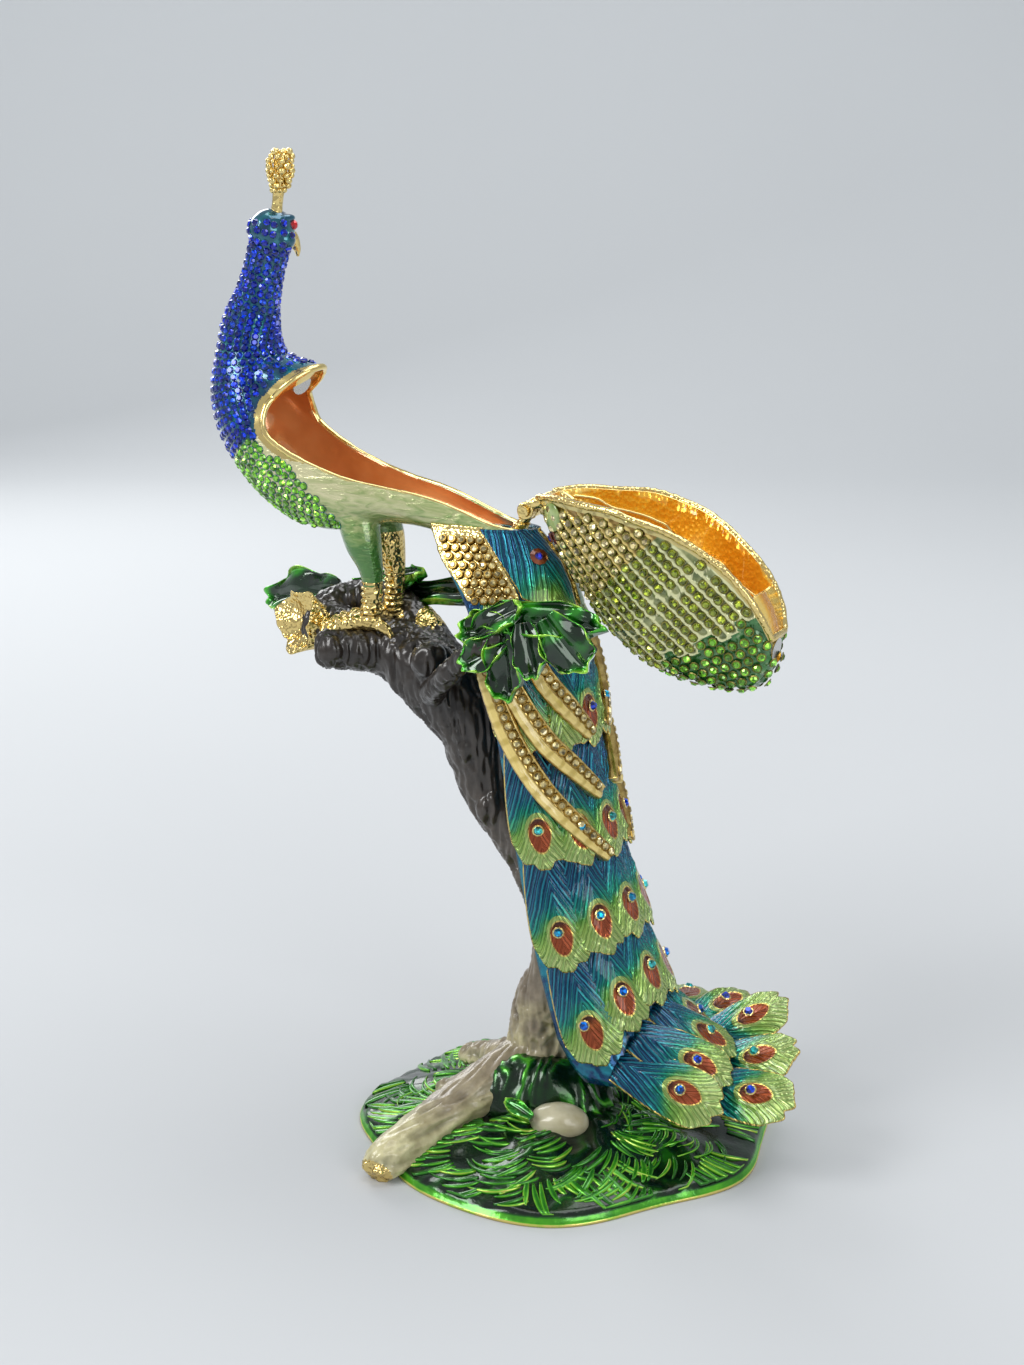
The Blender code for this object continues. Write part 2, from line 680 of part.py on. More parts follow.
def boat(stations, inset, above, half_ring=8):
    """The lid's boat shape drawn in by inset, with its open top raised by above (both in metres)."""
    rings = []
    for rim_x, rim_z, back_x, back_z, half in smooth_path(stations, 2):
        rim = Vector((rim_x, 0, rim_z)) * MM
        back = Vector((back_x, 0, back_z)) * MM
        depth = (rim - back).normalized()
        back += depth * inset
        width = max(half * MM - inset, 0.0006)
        ring = []
        for k in range(half_ring + 1):
            turn = math.pi * k / half_ring
            centre = rim.lerp(back, math.sin(turn) ** 0.85)
            ring.append(centre + Vector((0, width * math.cos(turn), 0)))
        if above:
            ring.append(ring[-1] + depth * above)
            ring.append(ring[0] + depth * above)
        rings.append(ring)
    return loft(rings)


lid_pivot = bpy.data.objects.new("lid_pivot", None)
parts.objects.link(lid_pivot)
lid_pivot.location = HINGE

lid = place("lid", boat(LID_STATIONS, 0, 0), LID_ENAMEL)
inner = [s for s in LID_STATIONS[:-1]]
inner[0] = tuple(a + (b - a) * 0.35 for a, b in zip(LID_STATIONS[0], LID_STATIONS[1]))
inner[-1] = (*(a - LID_END_WALL * k for a, k in zip(LID_STATIONS[-2], (1, 0, 1, -0.5))), LID_STATIONS[-2][4])
lid.parent = lid_pivot
hollow_lid = pivot_cutter("lid_hollow", boat(inner, LID_WALL, 0.004))
cut(lid, hollow_lid)
LID_BARREL_ARM = [(0.4, 0.6, 1.3), (2.4, 2.0, 1.4), (5.6, 2.6, 1.5), (8.5, 1.6, 1.2)]
for side in (-1, 1):
    y = side * LID_BARREL_Y / MM
    arm = limb([(x, y, z, LID_BARREL_LENGTH / 2 / MM, r) for x, z, r in LID_BARREL_ARM], sides=8, steps=1)
    cut(lid, pivot_cutter("lid_arm", arm), "UNION")
    barrel = cylinder(BARREL_RADIUS, LID_BARREL_LENGTH)
    barrel.transform(Matrix.Translation((0, side * LID_BARREL_Y, 0)))
    cut(lid, pivot_cutter("lid_barrel", barrel), "UNION")
slot_mesh = cylinder(BARREL_RADIUS + CLEARANCE * 1.5, BARREL_LENGTH + 1.6 * CLEARANCE)
cut(lid, pivot_cutter("barrel_slot", slot_mesh))
cut(lid, pivot_cutter("lid_bore", cylinder(PIN_RADIUS + PIN_PLAY, 6 * BARREL_LENGTH)))
LID_MAGNET_INSET = 0.15
tip_x, tip_height, tip_back_x, tip_back_height, _ = LID_STATIONS[-1]
LID_MAGNET = Vector(((tip_x + tip_back_x) / 2 - LID_MAGNET_INSET, 0, (tip_height + tip_back_height) / 2)) * MM
LID_MAGNET_FACING = Vector((1, 0, -0.16)).normalized()
lid_pocket = disc_at(
    MAGNET_RADIUS + CLEARANCE,
    POCKET_REACH,
    LID_MAGNET + LID_MAGNET_FACING * (POCKET_REACH / 2 - MAGNET_THICKNESS - CLEARANCE),
    LID_MAGNET_FACING,
)
cut(lid, pivot_cutter("lid_magnet_pocket", lid_pocket))

lid_magnet_mesh = disc_at(
    MAGNET_RADIUS, MAGNET_THICKNESS, LID_MAGNET - LID_MAGNET_FACING * MAGNET_THICKNESS / 2, LID_MAGNET_FACING
)
lid_magnet = place("lid_magnet", lid_magnet_mesh, SILVER)
lid_magnet.parent = lid_pivot

pin = place("hinge_pin", cylinder(PIN_RADIUS, PIN_LENGTH), GOLD)
pin.location = HINGE
for side in (-1, 1):
    head = cylinder(PIN_RADIUS + PIN_PLAY + 0.0003, PIN_HEAD)
    head.transform(Matrix.Translation((0, side * (PIN_LENGTH + PIN_HEAD) / 2 - side * 0.00005, 0)))
    cut(pin, pivot_cutter("pin_head", head), "UNION")


# Stones. Each is a faceted dome held just off the surface it is set on.
def stone_mesh(radius, sides=6):
    shape = bmesh.new()
    height = radius * 0.7
    bmesh.ops.create_cone(
        shape, cap_ends=True, segments=sides, radius1=radius, radius2=radius * 0.5, depth=height
    )
    bmesh.ops.translate(shape, verts=shape.verts, vec=(0, 0, height / 2))
    mesh = bpy.data.meshes.new("stone")
    shape.to_mesh(mesh)
    shape.free()
    return mesh


HEAD_CENTRE = Vector(HEAD) * MM
EYE_TURN = math.radians(45)
EYE_RISE = 1.2
EYE_OUT = 5.2
for name, side in (("right_eye_stone", -1), ("left_eye_stone", 1)):
    turn = HEAD_TURN + EYE_TURN * side
    centre = HEAD_CENTRE + Vector((math.cos(turn) * EYE_OUT, math.sin(turn) * EYE_OUT, EYE_RISE)) * MM
    socket = bmesh.new()
    bmesh.ops.create_uvsphere(socket, u_segments=12, v_segments=8, radius=EYE_RADIUS + CLEARANCE)
    socket_mesh = bpy.data.meshes.new("socket")
    socket.to_mesh(socket_mesh)
    socket.free()
    room = cutter(name + "_socket", socket_mesh)
    room.location = centre
    cut(peacock, room)
    stone = bmesh.new()
    bmesh.ops.create_uvsphere(stone, u_segments=8, v_segments=6, radius=EYE_RADIUS)
    eye_mesh = bpy.data.meshes.new("eye")
    stone.to_mesh(eye_mesh)
    stone.free()
    eye = place(name, eye_mesh, RED_STONE)
    eye.location = centre
keep_main_body(peacock)

surface = BVHTree.FromPolygons(
    [v.co for v in peacock.data.vertices], [list(p.vertices) for p in peacock.data.polygons]
)
STONE_GAP = 0.00045
LOOK_BACK = 0.012


def eye_spots():
    """Where the train's eye stones lie, as a point outside the surface and the way in to it."""
    for number, row in enumerate(ROW_TIPS[1:]):
        for turn in ROW_TURNS[2:] if number == 0 else ROW_TURNS:
            here, out, _ = train_frame(row_tip(row, turn) + EYE_FROM_TIP, math.radians(turn))
            yield here + out * LOOK_BACK, -out
    for root, tip, facing in FAN:
        out = Vector(facing).normalized()
        yield Vector(root).lerp(Vector(tip), FAN_EYE_SHARE) * MM + out * LOOK_BACK, -out


stone_shape = stone_mesh(TRAIN_STONE_RADIUS)
for number, (start, inward) in enumerate(eye_spots(), 1):
    hit, normal, _, _ = surface.ray_cast(start, inward)
    facing = (normal - inward).normalized()
    stone = place(f"train_stone_{number:02d}", stone_shape.copy(), BLUE_STONE)
    stone.location = hit + facing * STONE_GAP
    stone.rotation_euler = facing.to_track_quat("Z", "Y").to_euler()
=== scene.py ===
"""The finished peacock figurine: cast metal under translucent enamel, gold edges and set stones.

Metres, +Z up, origin in the middle of the flat underside. The bird faces -X and its left side is -Y.
"""

import math
import random

import bmesh
import bpy
import numpy as np
from mathutils import Matrix, Vector, noise
from mathutils.bvhtree import BVHTree


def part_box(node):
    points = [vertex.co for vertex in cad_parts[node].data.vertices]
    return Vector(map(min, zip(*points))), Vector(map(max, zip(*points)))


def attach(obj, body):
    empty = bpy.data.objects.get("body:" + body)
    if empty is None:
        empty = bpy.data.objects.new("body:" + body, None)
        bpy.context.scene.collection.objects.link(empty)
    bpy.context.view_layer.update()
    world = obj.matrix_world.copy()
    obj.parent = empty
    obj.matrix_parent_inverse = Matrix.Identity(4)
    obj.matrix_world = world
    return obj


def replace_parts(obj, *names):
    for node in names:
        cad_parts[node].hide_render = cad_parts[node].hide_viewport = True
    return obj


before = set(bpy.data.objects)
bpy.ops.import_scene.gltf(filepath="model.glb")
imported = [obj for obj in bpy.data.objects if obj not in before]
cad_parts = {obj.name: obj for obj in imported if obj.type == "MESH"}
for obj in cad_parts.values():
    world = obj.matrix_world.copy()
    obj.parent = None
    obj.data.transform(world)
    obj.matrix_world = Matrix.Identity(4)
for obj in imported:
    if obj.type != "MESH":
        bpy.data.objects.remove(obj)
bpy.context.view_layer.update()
MM = 0.001

# The photographer's table: a pale floor that curves up into a plain backdrop.
# Matt paper, lit by large soft lamps from the upper left, the right and above; its colour adds painted shade
# near the figurine and painted light further out.
VIEW_TURN = math.radians(27)
VIEW_TILT = math.radians(16.1)
VIEW_POINT = Vector((0.2018, -0.4258, 0.251))


def node(tree, kind, values=None, **settings):
    """Adds a node; values set its inputs, by a number, a colour or another node's output."""
    made = tree.nodes.new(kind)
    for key, value in settings.items():
        setattr(made, key, value)
    for key, value in (values or {}).items():
        if isinstance(value, bpy.types.NodeSocket):
            tree.links.new(value, made.inputs[key])
        else:
            made.inputs[key].default_value = value
    return made


def wire(tree, made, **sources):
    """Feeds a node's inputs, named by keyword, from other nodes' outputs."""
    for key, value in sources.items():
        tree.links.new(value, made.inputs[key.replace("_", " ")])


def finish(name, **values):
    """A new material with its Principled shader's plain values set."""
    made = bpy.data.materials.new(name)
    made.use_nodes = True
    shader = made.node_tree.nodes["Principled BSDF"]
    for key, value in values.items():
        shader.inputs[key.replace("_", " ")].default_value = value
    return made, made.node_tree, shader


def own_place(tree):
    return node(tree, "ShaderNodeTexCoord").outputs["Object"]


def speckle(tree, scale, detail=2.0):
    """Noise over the piece's own coordinates, scale per metre."""
    values = {"Vector": own_place(tree), "Scale": scale, "Detail": detail}
    return node(tree, "ShaderNodeTexNoise", values).outputs["Fac"]


def ramp(tree, factor, stops):
    made = node(tree, "ShaderNodeValToRGB", {"Fac": factor})
    bar = made.color_ramp
    while len(bar.elements) < len(stops):
        bar.elements.new(1)
    for element, (place, colour) in zip(bar.elements, stops):
        element.position = place
        element.color = (*colour, 1)
    return made.outputs["Color"]


def maths(tree, operation, *values):
    made = node(tree, "ShaderNodeMath", operation=operation)
    for socket, value in zip(made.inputs, values):
        if isinstance(value, bpy.types.NodeSocket):
            tree.links.new(value, socket)
        else:
            socket.default_value = value
    return made.outputs[0]


def placed(name, data):
    """A new object in the scene."""
    made = bpy.data.objects.new(name, data)
    bpy.context.scene.collection.objects.link(made)
    return made


paper, tree, shader = finish("backdrop_paper", Roughness=0.9)
# The paper's colour carries painted shade and light: darker near the figurine and lighter further out, in
# place of the lamps' falloff.
distance = node(tree, "ShaderNodeVectorMath", {0: own_place(tree)}, operation="LENGTH").outputs["Value"]
further = maths(tree, "MULTIPLY_ADD", speckle(tree, 3), 0.1, maths(tree, "MULTIPLY", distance, 0.6))
wire(tree, shader, Base_Color=ramp(tree, further, [(0.05, (0.50, 0.515, 0.53)), (0.9, (0.80, 0.825, 0.84))]))
SWEEP_FRONT, SWEEP_BACK, SWEEP_RADIUS, SWEEP_HALF_WIDTH, SWEEP_HEIGHT = -2.0, 0.9, 0.5, 2.0, 2.2
UNDER_BASE = 0.0001
sweep_profile = [(SWEEP_FRONT, 0.0), (SWEEP_BACK, 0.0)]
for turn in np.linspace(0, math.pi / 2, 13)[1:]:
    sweep_profile.append((SWEEP_BACK + SWEEP_RADIUS * math.sin(turn), SWEEP_RADIUS * (1 - math.cos(turn))))
sweep_profile.append((SWEEP_BACK + SWEEP_RADIUS, SWEEP_HEIGHT))
sweep_points = [
    (x, y, z - UNDER_BASE) for x in (-SWEEP_HALF_WIDTH, SWEEP_HALF_WIDTH) for y, z in sweep_profile
]
count = len(sweep_profile)
sweep_faces = [(k, count + k, count + k + 1, k + 1) for k in range(count - 1)]
sweep_mesh = bpy.data.meshes.new("backdrop")
sweep_mesh.from_pydata(sweep_points, [], sweep_faces)
sweep_mesh.transform(Matrix.Rotation(VIEW_TURN, 4, "Z"))
sweep_mesh.shade_smooth()
sweep_mesh.materials.append(paper)
placed("backdrop", sweep_mesh)

room = bpy.data.worlds.new("room")
room.use_nodes = True
sky = room.node_tree.nodes["Background"].inputs
sky["Color"].default_value = (0.86, 0.89, 0.93, 1)
sky["Strength"].default_value = 0.5
bpy.context.scene.world = room
bpy.context.scene.view_settings.view_transform = "Standard"
LAMPS = [
    ("key_lamp", (-0.55, -0.65, 0.75), 0.45, 5.6),
    ("fill_lamp", (0.75, -0.45, 0.45), 0.5, 2.6),
    ("top_lamp", (0.1, 0.25, 0.95), 0.7, 4.6),
    ("side_lamp", (-0.7, 0.5, 0.5), 0.4, 2.4),
]
LAMPS_AIM = Vector((0, 0, 0.12))
for name, place, size, power in LAMPS:
    lamp = bpy.data.lights.new(name, "AREA")
    lamp.energy = power
    lamp.size = size
    stand = placed(name, lamp)
    stand.location = place
    stand.rotation_euler = (LAMPS_AIM - stand.location).to_track_quat("-Z", "Y").to_euler()

FOCUS_PER_PICTURE_HEIGHT = 2050 / 1365
lens = bpy.data.cameras.new("camera")
lens.sensor_fit = "VERTICAL"
lens.sensor_height = 36
lens.lens = lens.sensor_height * FOCUS_PER_PICTURE_HEIGHT
lens.clip_start = 0.01
camera = placed("camera", lens)
camera.location = VIEW_POINT
camera.rotation_euler = (math.pi / 2 - VIEW_TILT, 0, VIEW_TURN)
bpy.context.scene.camera = camera

# The grassy base: an oval mound with tufts of long blades combed over it.
# One casting with the trunk, dark green enamel in the hollows, bright green and gold on the blades.
GROUND_REACH = (51.2, 45.7)
GROUND_TURN = math.radians(27)
GROUND_CENTRE = (2.3, -4.5)
GROUND_EDGE = 2.4
GROUND_CROWN = 9.5


def smooth_path(points, steps):
    """Catmull-Rom curve through points of any number of values."""
    knots = np.array([points[0], *points, points[-1]], float)
    t = (np.arange(steps) / steps)[:, None]
    spans = [
        0.5 * (2 * b + (c - a) * t + (2 * a - 5 * b + 4 * c - d) * t**2 + (3 * b - a - 3 * c + d) * t**3)
        for a, b, c, d in zip(knots, knots[1:], knots[2:], knots[3:])
    ]
    return np.vstack([*spans, knots[-1]])


def mesh_of(shape, name):
    """The bmesh as a mesh; the bmesh is freed."""
    made = bpy.data.meshes.new(name)
    shape.to_mesh(made)
    shape.free()
    return made


def closed_mesh(points, faces, merged=False):
    """A mesh from points in mm and faces, turned to face outwards."""
    mesh = bpy.data.meshes.new("closed")
    mesh.from_pydata((points * MM).tolist(), [], faces)
    shape = bmesh.new()
    shape.from_mesh(mesh)
    if merged:
        bmesh.ops.remove_doubles(shape, verts=shape.verts, dist=0.01 * MM)
    bmesh.ops.recalc_face_normals(shape, faces=shape.faces)
    shape.to_mesh(mesh)
    shape.free()
    return mesh


def skin(rings, closed_ends=True, merged=False):
    """A mesh over rings of as many points each, in mm, with its ends closed."""
    rings = np.asarray(rings, float)
    rows, around = rings.shape[:2]
    here = np.arange(rows * around).reshape(rows, around)
    beside = np.roll(here, -1, axis=1)
    faces = np.stack([here[:-1], beside[:-1], beside[1:], here[1:]], axis=-1).reshape(-1, 4).tolist()
    if closed_ends:
        faces += [here[0][::-1].tolist(), here[-1].tolist()]
    return closed_mesh(rings.reshape(-1, 3), faces, merged)


def joined(meshes):
    shape = bmesh.new()
    for mesh in meshes:
        shape.from_mesh(mesh)
    return mesh_of(shape, "joined")


def corners(mesh):
    """The mesh's points as an array, in mm."""
    flat = np.zeros(len(mesh.vertices) * 3)
    mesh.vertices.foreach_get("co", flat)
    return flat.reshape(-1, 3) / MM


def move_corners(mesh, places):
    mesh.vertices.foreach_set("co", (np.asarray(places) * MM).ravel())
    mesh.update()


def outward(mesh):
    flat = np.zeros(len(mesh.vertices) * 3)
    mesh.vertex_normals.foreach_get("vector", flat)
    return flat.reshape(-1, 3)


def paint(mesh, name, values):
    """Stores a number, a vector or a colour at each point, by how many values it has."""
    values = np.asarray(values, float)
    width = 1 if values.ndim == 1 else values.shape[1]
    kind, key = {1: ("FLOAT", "value"), 3: ("FLOAT_VECTOR", "vector"), 4: ("FLOAT_COLOR", "color")}[width]
    mesh.attributes.new(name, kind, "POINT").data.foreach_set(key, values.ravel())


def clamp(value):
    return np.clip(value, 0.0, 1.0)


def unit(vector):
    return vector / np.linalg.norm(vector)


def swell(points, scale, offset=0.0):
    """Smooth noise at each point, about -1 to 1; scale is per mm and may differ by axis."""
    spots = np.asarray(points) * scale + offset
    return np.array([noise.noise(Vector(p)) for p in spots])


def piece(name, mesh, finishes, body="figurine", smooth=True):
    mesh.name = name
    for one in finishes:
        mesh.materials.append(one)
    if smooth:
        mesh.shade_smooth()
    made = placed(name, mesh)
    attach(made, body)
    return made


def read(tree, name, output="Fac"):
    return node(tree, "ShaderNodeAttribute", attribute_name=name).outputs[output]


def read_three(tree, name):
    """The three numbers of a stored vector."""
    return node(tree, "ShaderNodeSeparateXYZ", {0: read(tree, name, "Vector")}).outputs


def span(tree, value, low, high, start=0.0, stop=1.0):
    """Runs from start to stop as the value goes from low to high, and is held there beyond."""
    values = {"Value": value, "From Min": low, "From Max": high, "To Min": start, "To Max": stop}
    return node(tree, "ShaderNodeMapRange", values).outputs[0]


def bump(tree, shader, height, depth, strength=1.0):
    raised = node(tree, "ShaderNodeBump", {"Height": height, "Distance": depth, "Strength": strength})
    wire(tree, shader, Normal=raised.outputs["Normal"])


def mix(tree, factor, first, second, blend="MIX"):
    """A colour between two; each may be a colour or an output."""
    made = node(tree, "ShaderNodeMix", data_type="RGBA", blend_type=blend)
    for socket, value in ((made.inputs[0], factor), (made.inputs[6], first), (made.inputs[7], second)):
        if isinstance(value, bpy.types.NodeSocket):
            tree.links.new(value, socket)
        elif isinstance(value, tuple):
            socket.default_value = (*value, 1)
        else:
            socket.default_value = value
    return made.outputs[2]


def mottled(name, scale, stops, detail=2.0, **values):
    """A finish whose colour changes with noise of this scale, between the ramp's stops."""
    made, tree, shader = finish(name, **values)
    wire(tree, shader, Base_Color=ramp(tree, speckle(tree, scale, detail), stops))
    return made, tree, shader


def ground_point(turn, share):
    """The mound's top, in mm, at a turn about its centre and a share of the way out."""
    reach = 1 + 0.035 * math.sin(3 * turn + 0.6) + 0.02 * math.sin(7 * turn) - 0.025 * math.cos(5 * turn)
    x = GROUND_REACH[0] * reach * share * math.cos(turn)
    y = GROUND_REACH[1] * reach * share * math.sin(turn)
    z = GROUND_EDGE + (GROUND_CROWN - GROUND_EDGE) * (1 - share**2.2)
    z += 0.9 * math.sin(11 * turn + 5 * share) * math.sin(math.pi * share)
    c, s = math.cos(GROUND_TURN), math.sin(GROUND_TURN)
    return np.array((x * c - y * s + GROUND_CENTRE[0], x * s + y * c + GROUND_CENTRE[1], z))


# Grass enamel reads how high on the relief it lies: dark glass in the hollows, bright on the blades
grass_enamel, tree, shader = finish("grass_enamel", Roughness=0.2, Metallic=0.4, Coat_Weight=0.4)
cloud = maths(tree, "SUBTRACT", speckle(tree, 240, 3), 0.5)
lift = maths(tree, "MULTIPLY_ADD", cloud, 0.45, read(tree, "lift"))
GRASS_TONES = [(0.0, (0.002, 0.010, 0.004)), (0.3, (0.006, 0.045, 0.006)), (0.55, (0.02, 0.19, 0.008))]
GRASS_TONES += [(0.74, (0.09, 0.46, 0.012)), (0.92, (0.42, 0.62, 0.06)), (1.0, (0.70, 0.58, 0.16))]
wire(tree, shader, Base_Color=ramp(tree, lift, GRASS_TONES))
bump(tree, shader, speckle(tree, 900), 0.0002, 0.4)

SPOKES, MOUND_RINGS = 220, 44
RIM_BAND = [(1.0, 0.0, 1.0), (1.0, 0.65, 1.0), (0.994, 0.75, 0.66), (0.988, 1.9, 0.68), (0.975, 2.4, 0.4)]
rings, lifts = [], []
for share, height, tone in RIM_BAND:
    rings.append([(*ground_point(2 * math.pi * k / SPOKES, share)[:2], height) for k in range(SPOKES)])
    lifts += [tone] * SPOKES
for share in np.linspace(0.965, 0.02, MOUND_RINGS):
    rings.append([ground_point(2 * math.pi * k / SPOKES, share) for k in range(SPOKES)])
    lifts += [0.1] * SPOKES
mound = skin(rings)
spots = corners(mound)
bearing = np.arctan2(spots[:, 1] - GROUND_CENTRE[1], spots[:, 0] - GROUND_CENTRE[0])
waves = swell(spots, (0.10, 0.10, 0.0), 7.0) * 3.0 + swell(spots, (0.3, 0.3, 0.0), 3.0) * 0.5
comb = 0.5 + 0.5 * np.sin(bearing * 34 + waves * 4)
top = np.array(lifts) < 0.5
patches = clamp(0.5 + 1.6 * swell(spots, (0.09, 0.09, 0.0), 21.0))
spots[:, 2] += np.where(top, (comb * 0.55 - 0.3) * patches + 0.5 * swell(spots, (0.12, 0.12, 0), 2.0), 0)
paint(mound, "lift", np.where(top, 0.02 + comb**2 * 0.42 * patches, lifts))
move_corners(mound, spots)
piece("grass_mound", mound, [grass_enamel])


def ball(centre, radii, turn=0.0, segments=32):
    """An ellipsoid in mm, turned about the upright."""
    shape = bmesh.new()
    bmesh.ops.create_uvsphere(shape, u_segments=segments, v_segments=segments // 2, radius=1)
    shape.transform(
        Matrix.Translation(Vector(centre) * MM)
        @ Matrix.Rotation(turn, 4, "Z")
        @ Matrix.Diagonal((*(r * MM for r in radii), 1))
    )
    return mesh_of(shape, "ball")


# Each tuft is a row of blades, side by side, that lie on the mound and lean the same way
random.seed(11)
BLADE_STEPS, BLADE_GAP, MEAN_REACH = 11, 1.45, 48.0
BLADE_SECTION = [(-1.0, -0.8, 0.1), (-0.92, 0.35, 0.95), (-0.45, 0.55, 0.68), (0, 0.5, 0.6)]
BLADE_SECTION += [(0.45, 0.55, 0.7), (0.92, 0.35, 0.95), (1.0, -0.8, 0.1)]


def blade(turn, share, lean, length, width, height):
    """A blade of grass that tapers to both ends; lean turns it from straight outwards."""
    rings = []
    for i in range(BLADE_STEPS + 1):
        t = i / BLADE_STEPS
        bend = lean * (0.75 + 0.5 * t)
        out = min(share + length * t * math.cos(bend) / MEAN_REACH, 0.975)
        here = ground_point(turn + length * t * math.sin(bend) / (MEAN_REACH * out), out)
        further = out + 0.02 * math.cos(bend)
        ahead = ground_point(turn + length * (t + 0.02) * math.sin(bend) / (MEAN_REACH * out), further)
        across = np.cross(unit(ahead - here), (0, 0, 1.0))
        half = width * math.sin(math.pi * (0.08 + 0.86 * t)) ** 0.7
        rise = height * math.sin(math.pi * (0.12 + 0.82 * t)) ** 0.6
        rings.append(
            [here + across * half * u + (0, 0, rise * v if v > 0 else v) for u, v, _ in BLADE_SECTION]
        )
    return skin(rings)


# Rings of tufts: how far out at least and at most, how many tufts, and blades in each
TUFT_RINGS = [(0.72, 0.86, 27, 9), (0.5, 0.68, 21, 9), (0.25, 0.45, 12, 8)]
blades = []
for least, most, tufts_in_ring, in_tuft in TUFT_RINGS:
    for tuft in range(tufts_in_ring):
        turn = 2 * math.pi * (tuft + random.uniform(-0.3, 0.3)) / tufts_in_ring
        share = random.uniform(least, most)
        lean = math.radians(random.uniform(-58, -28) if random.random() < 0.8 else random.uniform(10, 50))
        spread = random.randint(in_tuft - 2, in_tuft)
        for number in range(spread):
            aside = (number - spread / 2) * BLADE_GAP
            blades.append(
                blade(
                    turn + aside * math.cos(lean) / (MEAN_REACH * share),
                    share - aside * math.sin(lean) / MEAN_REACH + random.uniform(-0.015, 0.015),
                    lean + random.uniform(-0.18, 0.18) + 0.05 * (number - spread / 2),
                    random.uniform(6.0, 13.0),
                    random.uniform(0.5, 0.95),
                    random.uniform(0.6, 1.3),
                )
            )

# A grassy hump rises against the trunk's foot, behind the rock
HUMP, HUMP_RADII = (-1.5, -9.0, 5.5), (19.5, 9.5, 14.5)
hump = ball(HUMP, HUMP_RADII, GROUND_TURN, 128)
spots = corners(hump)
down = swell(spots, (0.16, 0.16, 0.05), 4.0) * 2.6 + swell(spots, (0.5, 0.5, 0.1), 9.0) * 0.8
hump_comb = 0.5 + 0.5 * np.sin(spots[:, 0] * 1.9 + spots[:, 2] * 0.7 + down * 3)
hump_patches = clamp(0.62 + 1.5 * swell(spots, 0.12, 31.0))
spots += outward(hump) * (0.7 * hump_comb * hump_patches + 1.0 * swell(spots, 0.14))[:, None]
spots[:, 2] = np.maximum(spots[:, 2], 1.0)
move_corners(hump, spots)
tufts = joined([*blades, hump])
tones = [random.uniform(0.55, 1.05) for _ in blades]
blade_lifts = np.outer(tones, [lift for _, _, lift in BLADE_SECTION] * (BLADE_STEPS + 1)).ravel()
paint(tufts, "lift", np.concatenate([blade_lifts, 0.08 + 0.66 * hump_comb**2 * hump_patches]))
piece("grass_tufts", tufts, [grass_enamel])

# Trunk, branch and roots: one leaning casting with twisted lengthwise ridges and burls.
# Glossy brown-black enamel at the top, grey-brown lower down and beige at the roots, with gold patches.
# Each run lists its points' x, y and z and the limb's radius there, in mm
TRUNK = [(-6, -1, 4, 12.5), (-5.5, 0, 14, 10.5), (-5.6, 0, 24, 8.8), (-5.2, 0, 32, 7.6), (-2.8, 0, 40, 6.2)]
TRUNK += [(-3.2, 0, 52, 5.6), (-6.5, 0, 63, 5.8), (-11.5, 0, 72, 6.0), (-17, 0, 79, 6.4), (-21.5, 0, 86, 6.8)]
TRUNK += [(-23.8, 0, 94, 7.8), (-25.5, 0, 101, 8.8), (-30.5, 0, 107, 9.6), (-36.5, 0, 112, 9.6)]
BRANCH = [
    (-33, 0, 109, 8.4), (-40, 0, 114.5, 8.6), (-50, 0.5, 117.5, 7.2), (-62, 1.5, 118.5, 6.6),
    (-70, 3, 120.3, 6.4),
]
STUB = [(-50, -2, 117.5, 5.4), (-54.5, -6.5, 118.4, 5.0), (-59.5, -11.5, 118.8, 4.7)]
KNOB = [(-33, -3, 114, 6), (-32, -9, 118.0, 4.8), (-31.6, -12, 119.6, 4.0)]
BACK_BRANCH = [
    (-38, 3, 116, 6.2), (-45, 8, 121, 5.2), (-54, 11, 125.5, 4.6), (-64, 10, 126.5, 4.3),
    (-71, 6.5, 124.5, 4.2),
]
FRONT_ROOT = [
    (-7, -4, 16, 7.5), (-15, -14, 11, 6.6), (-20.5, -27, 7.4, 5.8),
    (-24, -40, 5.0, 5.4), (-26, -47, 3.6, 4.6),
]
LEFT_ROOT = [(-8, 2, 14, 7), (-20, 6, 9, 5), (-32, 10, 5, 3.6)]
RIGHT_ROOT = [(-4, 3, 12, 7), (8, 12, 8, 5), (18, 22, 5, 3.6)]
SMALL_ROOT = [(-14, -6, 13, 3), (-19, -11, 10.5, 2.6), (-28, -14, 8, 1.8)]
TWIG = [
    (-34, -5, 110, 3.6), (-29, -14, 113, 2.6), (-22, -21, 119, 2.3), (-14, -24.5, 126, 2.2),
    (-6, -24.5, 131, 2.0),
]
BARK_VOXEL = 0.0005


def limb(points, sides=24, steps=10, side=(0, 1, 0), grow=0.0):
    """A round-ended loft, in mm, along (x, y, z, radius) or (x, y, z, side radius, up radius) points."""
    path = smooth_path([p if len(p) == 5 else (*p, p[3]) for p in points], steps)
    turns = np.linspace(0, 2 * math.pi, sides, endpoint=False)
    side = np.array(side, float)
    rings = []
    for i, (x, y, z, wide, tall) in enumerate(path):
        along = unit(path[min(i + 1, len(path) - 1), :3] - path[max(i - 1, 0), :3])
        across = unit(side - along * side.dot(along))
        up = np.cross(along, across)
        ends = [(0.0, 1.0)]
        if i == 0:
            ends = [(-0.75, 0.35), (-0.66, 0.62), (-0.45, 0.85), (-0.2, 0.97), (0, 1)]
        if i == len(path) - 1:
            ends = [(0, 1), (0.2, 0.97), (0.45, 0.85), (0.66, 0.62), (0.75, 0.35)]
        for back, share in ends:
            start = np.array((x, y, z)) + along * back * tall
            ring = np.outer(np.cos(turns), across) * (wide * share + grow)
            rings.append(start + ring + np.outer(np.sin(turns), up) * (tall * share + grow))
    return skin(rings)


def baked(made):
    """The object's mesh with its modifiers applied; the object is removed."""
    graph = bpy.context.evaluated_depsgraph_get()
    result = bpy.data.meshes.new_from_object(made.evaluated_get(graph), depsgraph=graph)
    bpy.data.objects.remove(made)
    return result


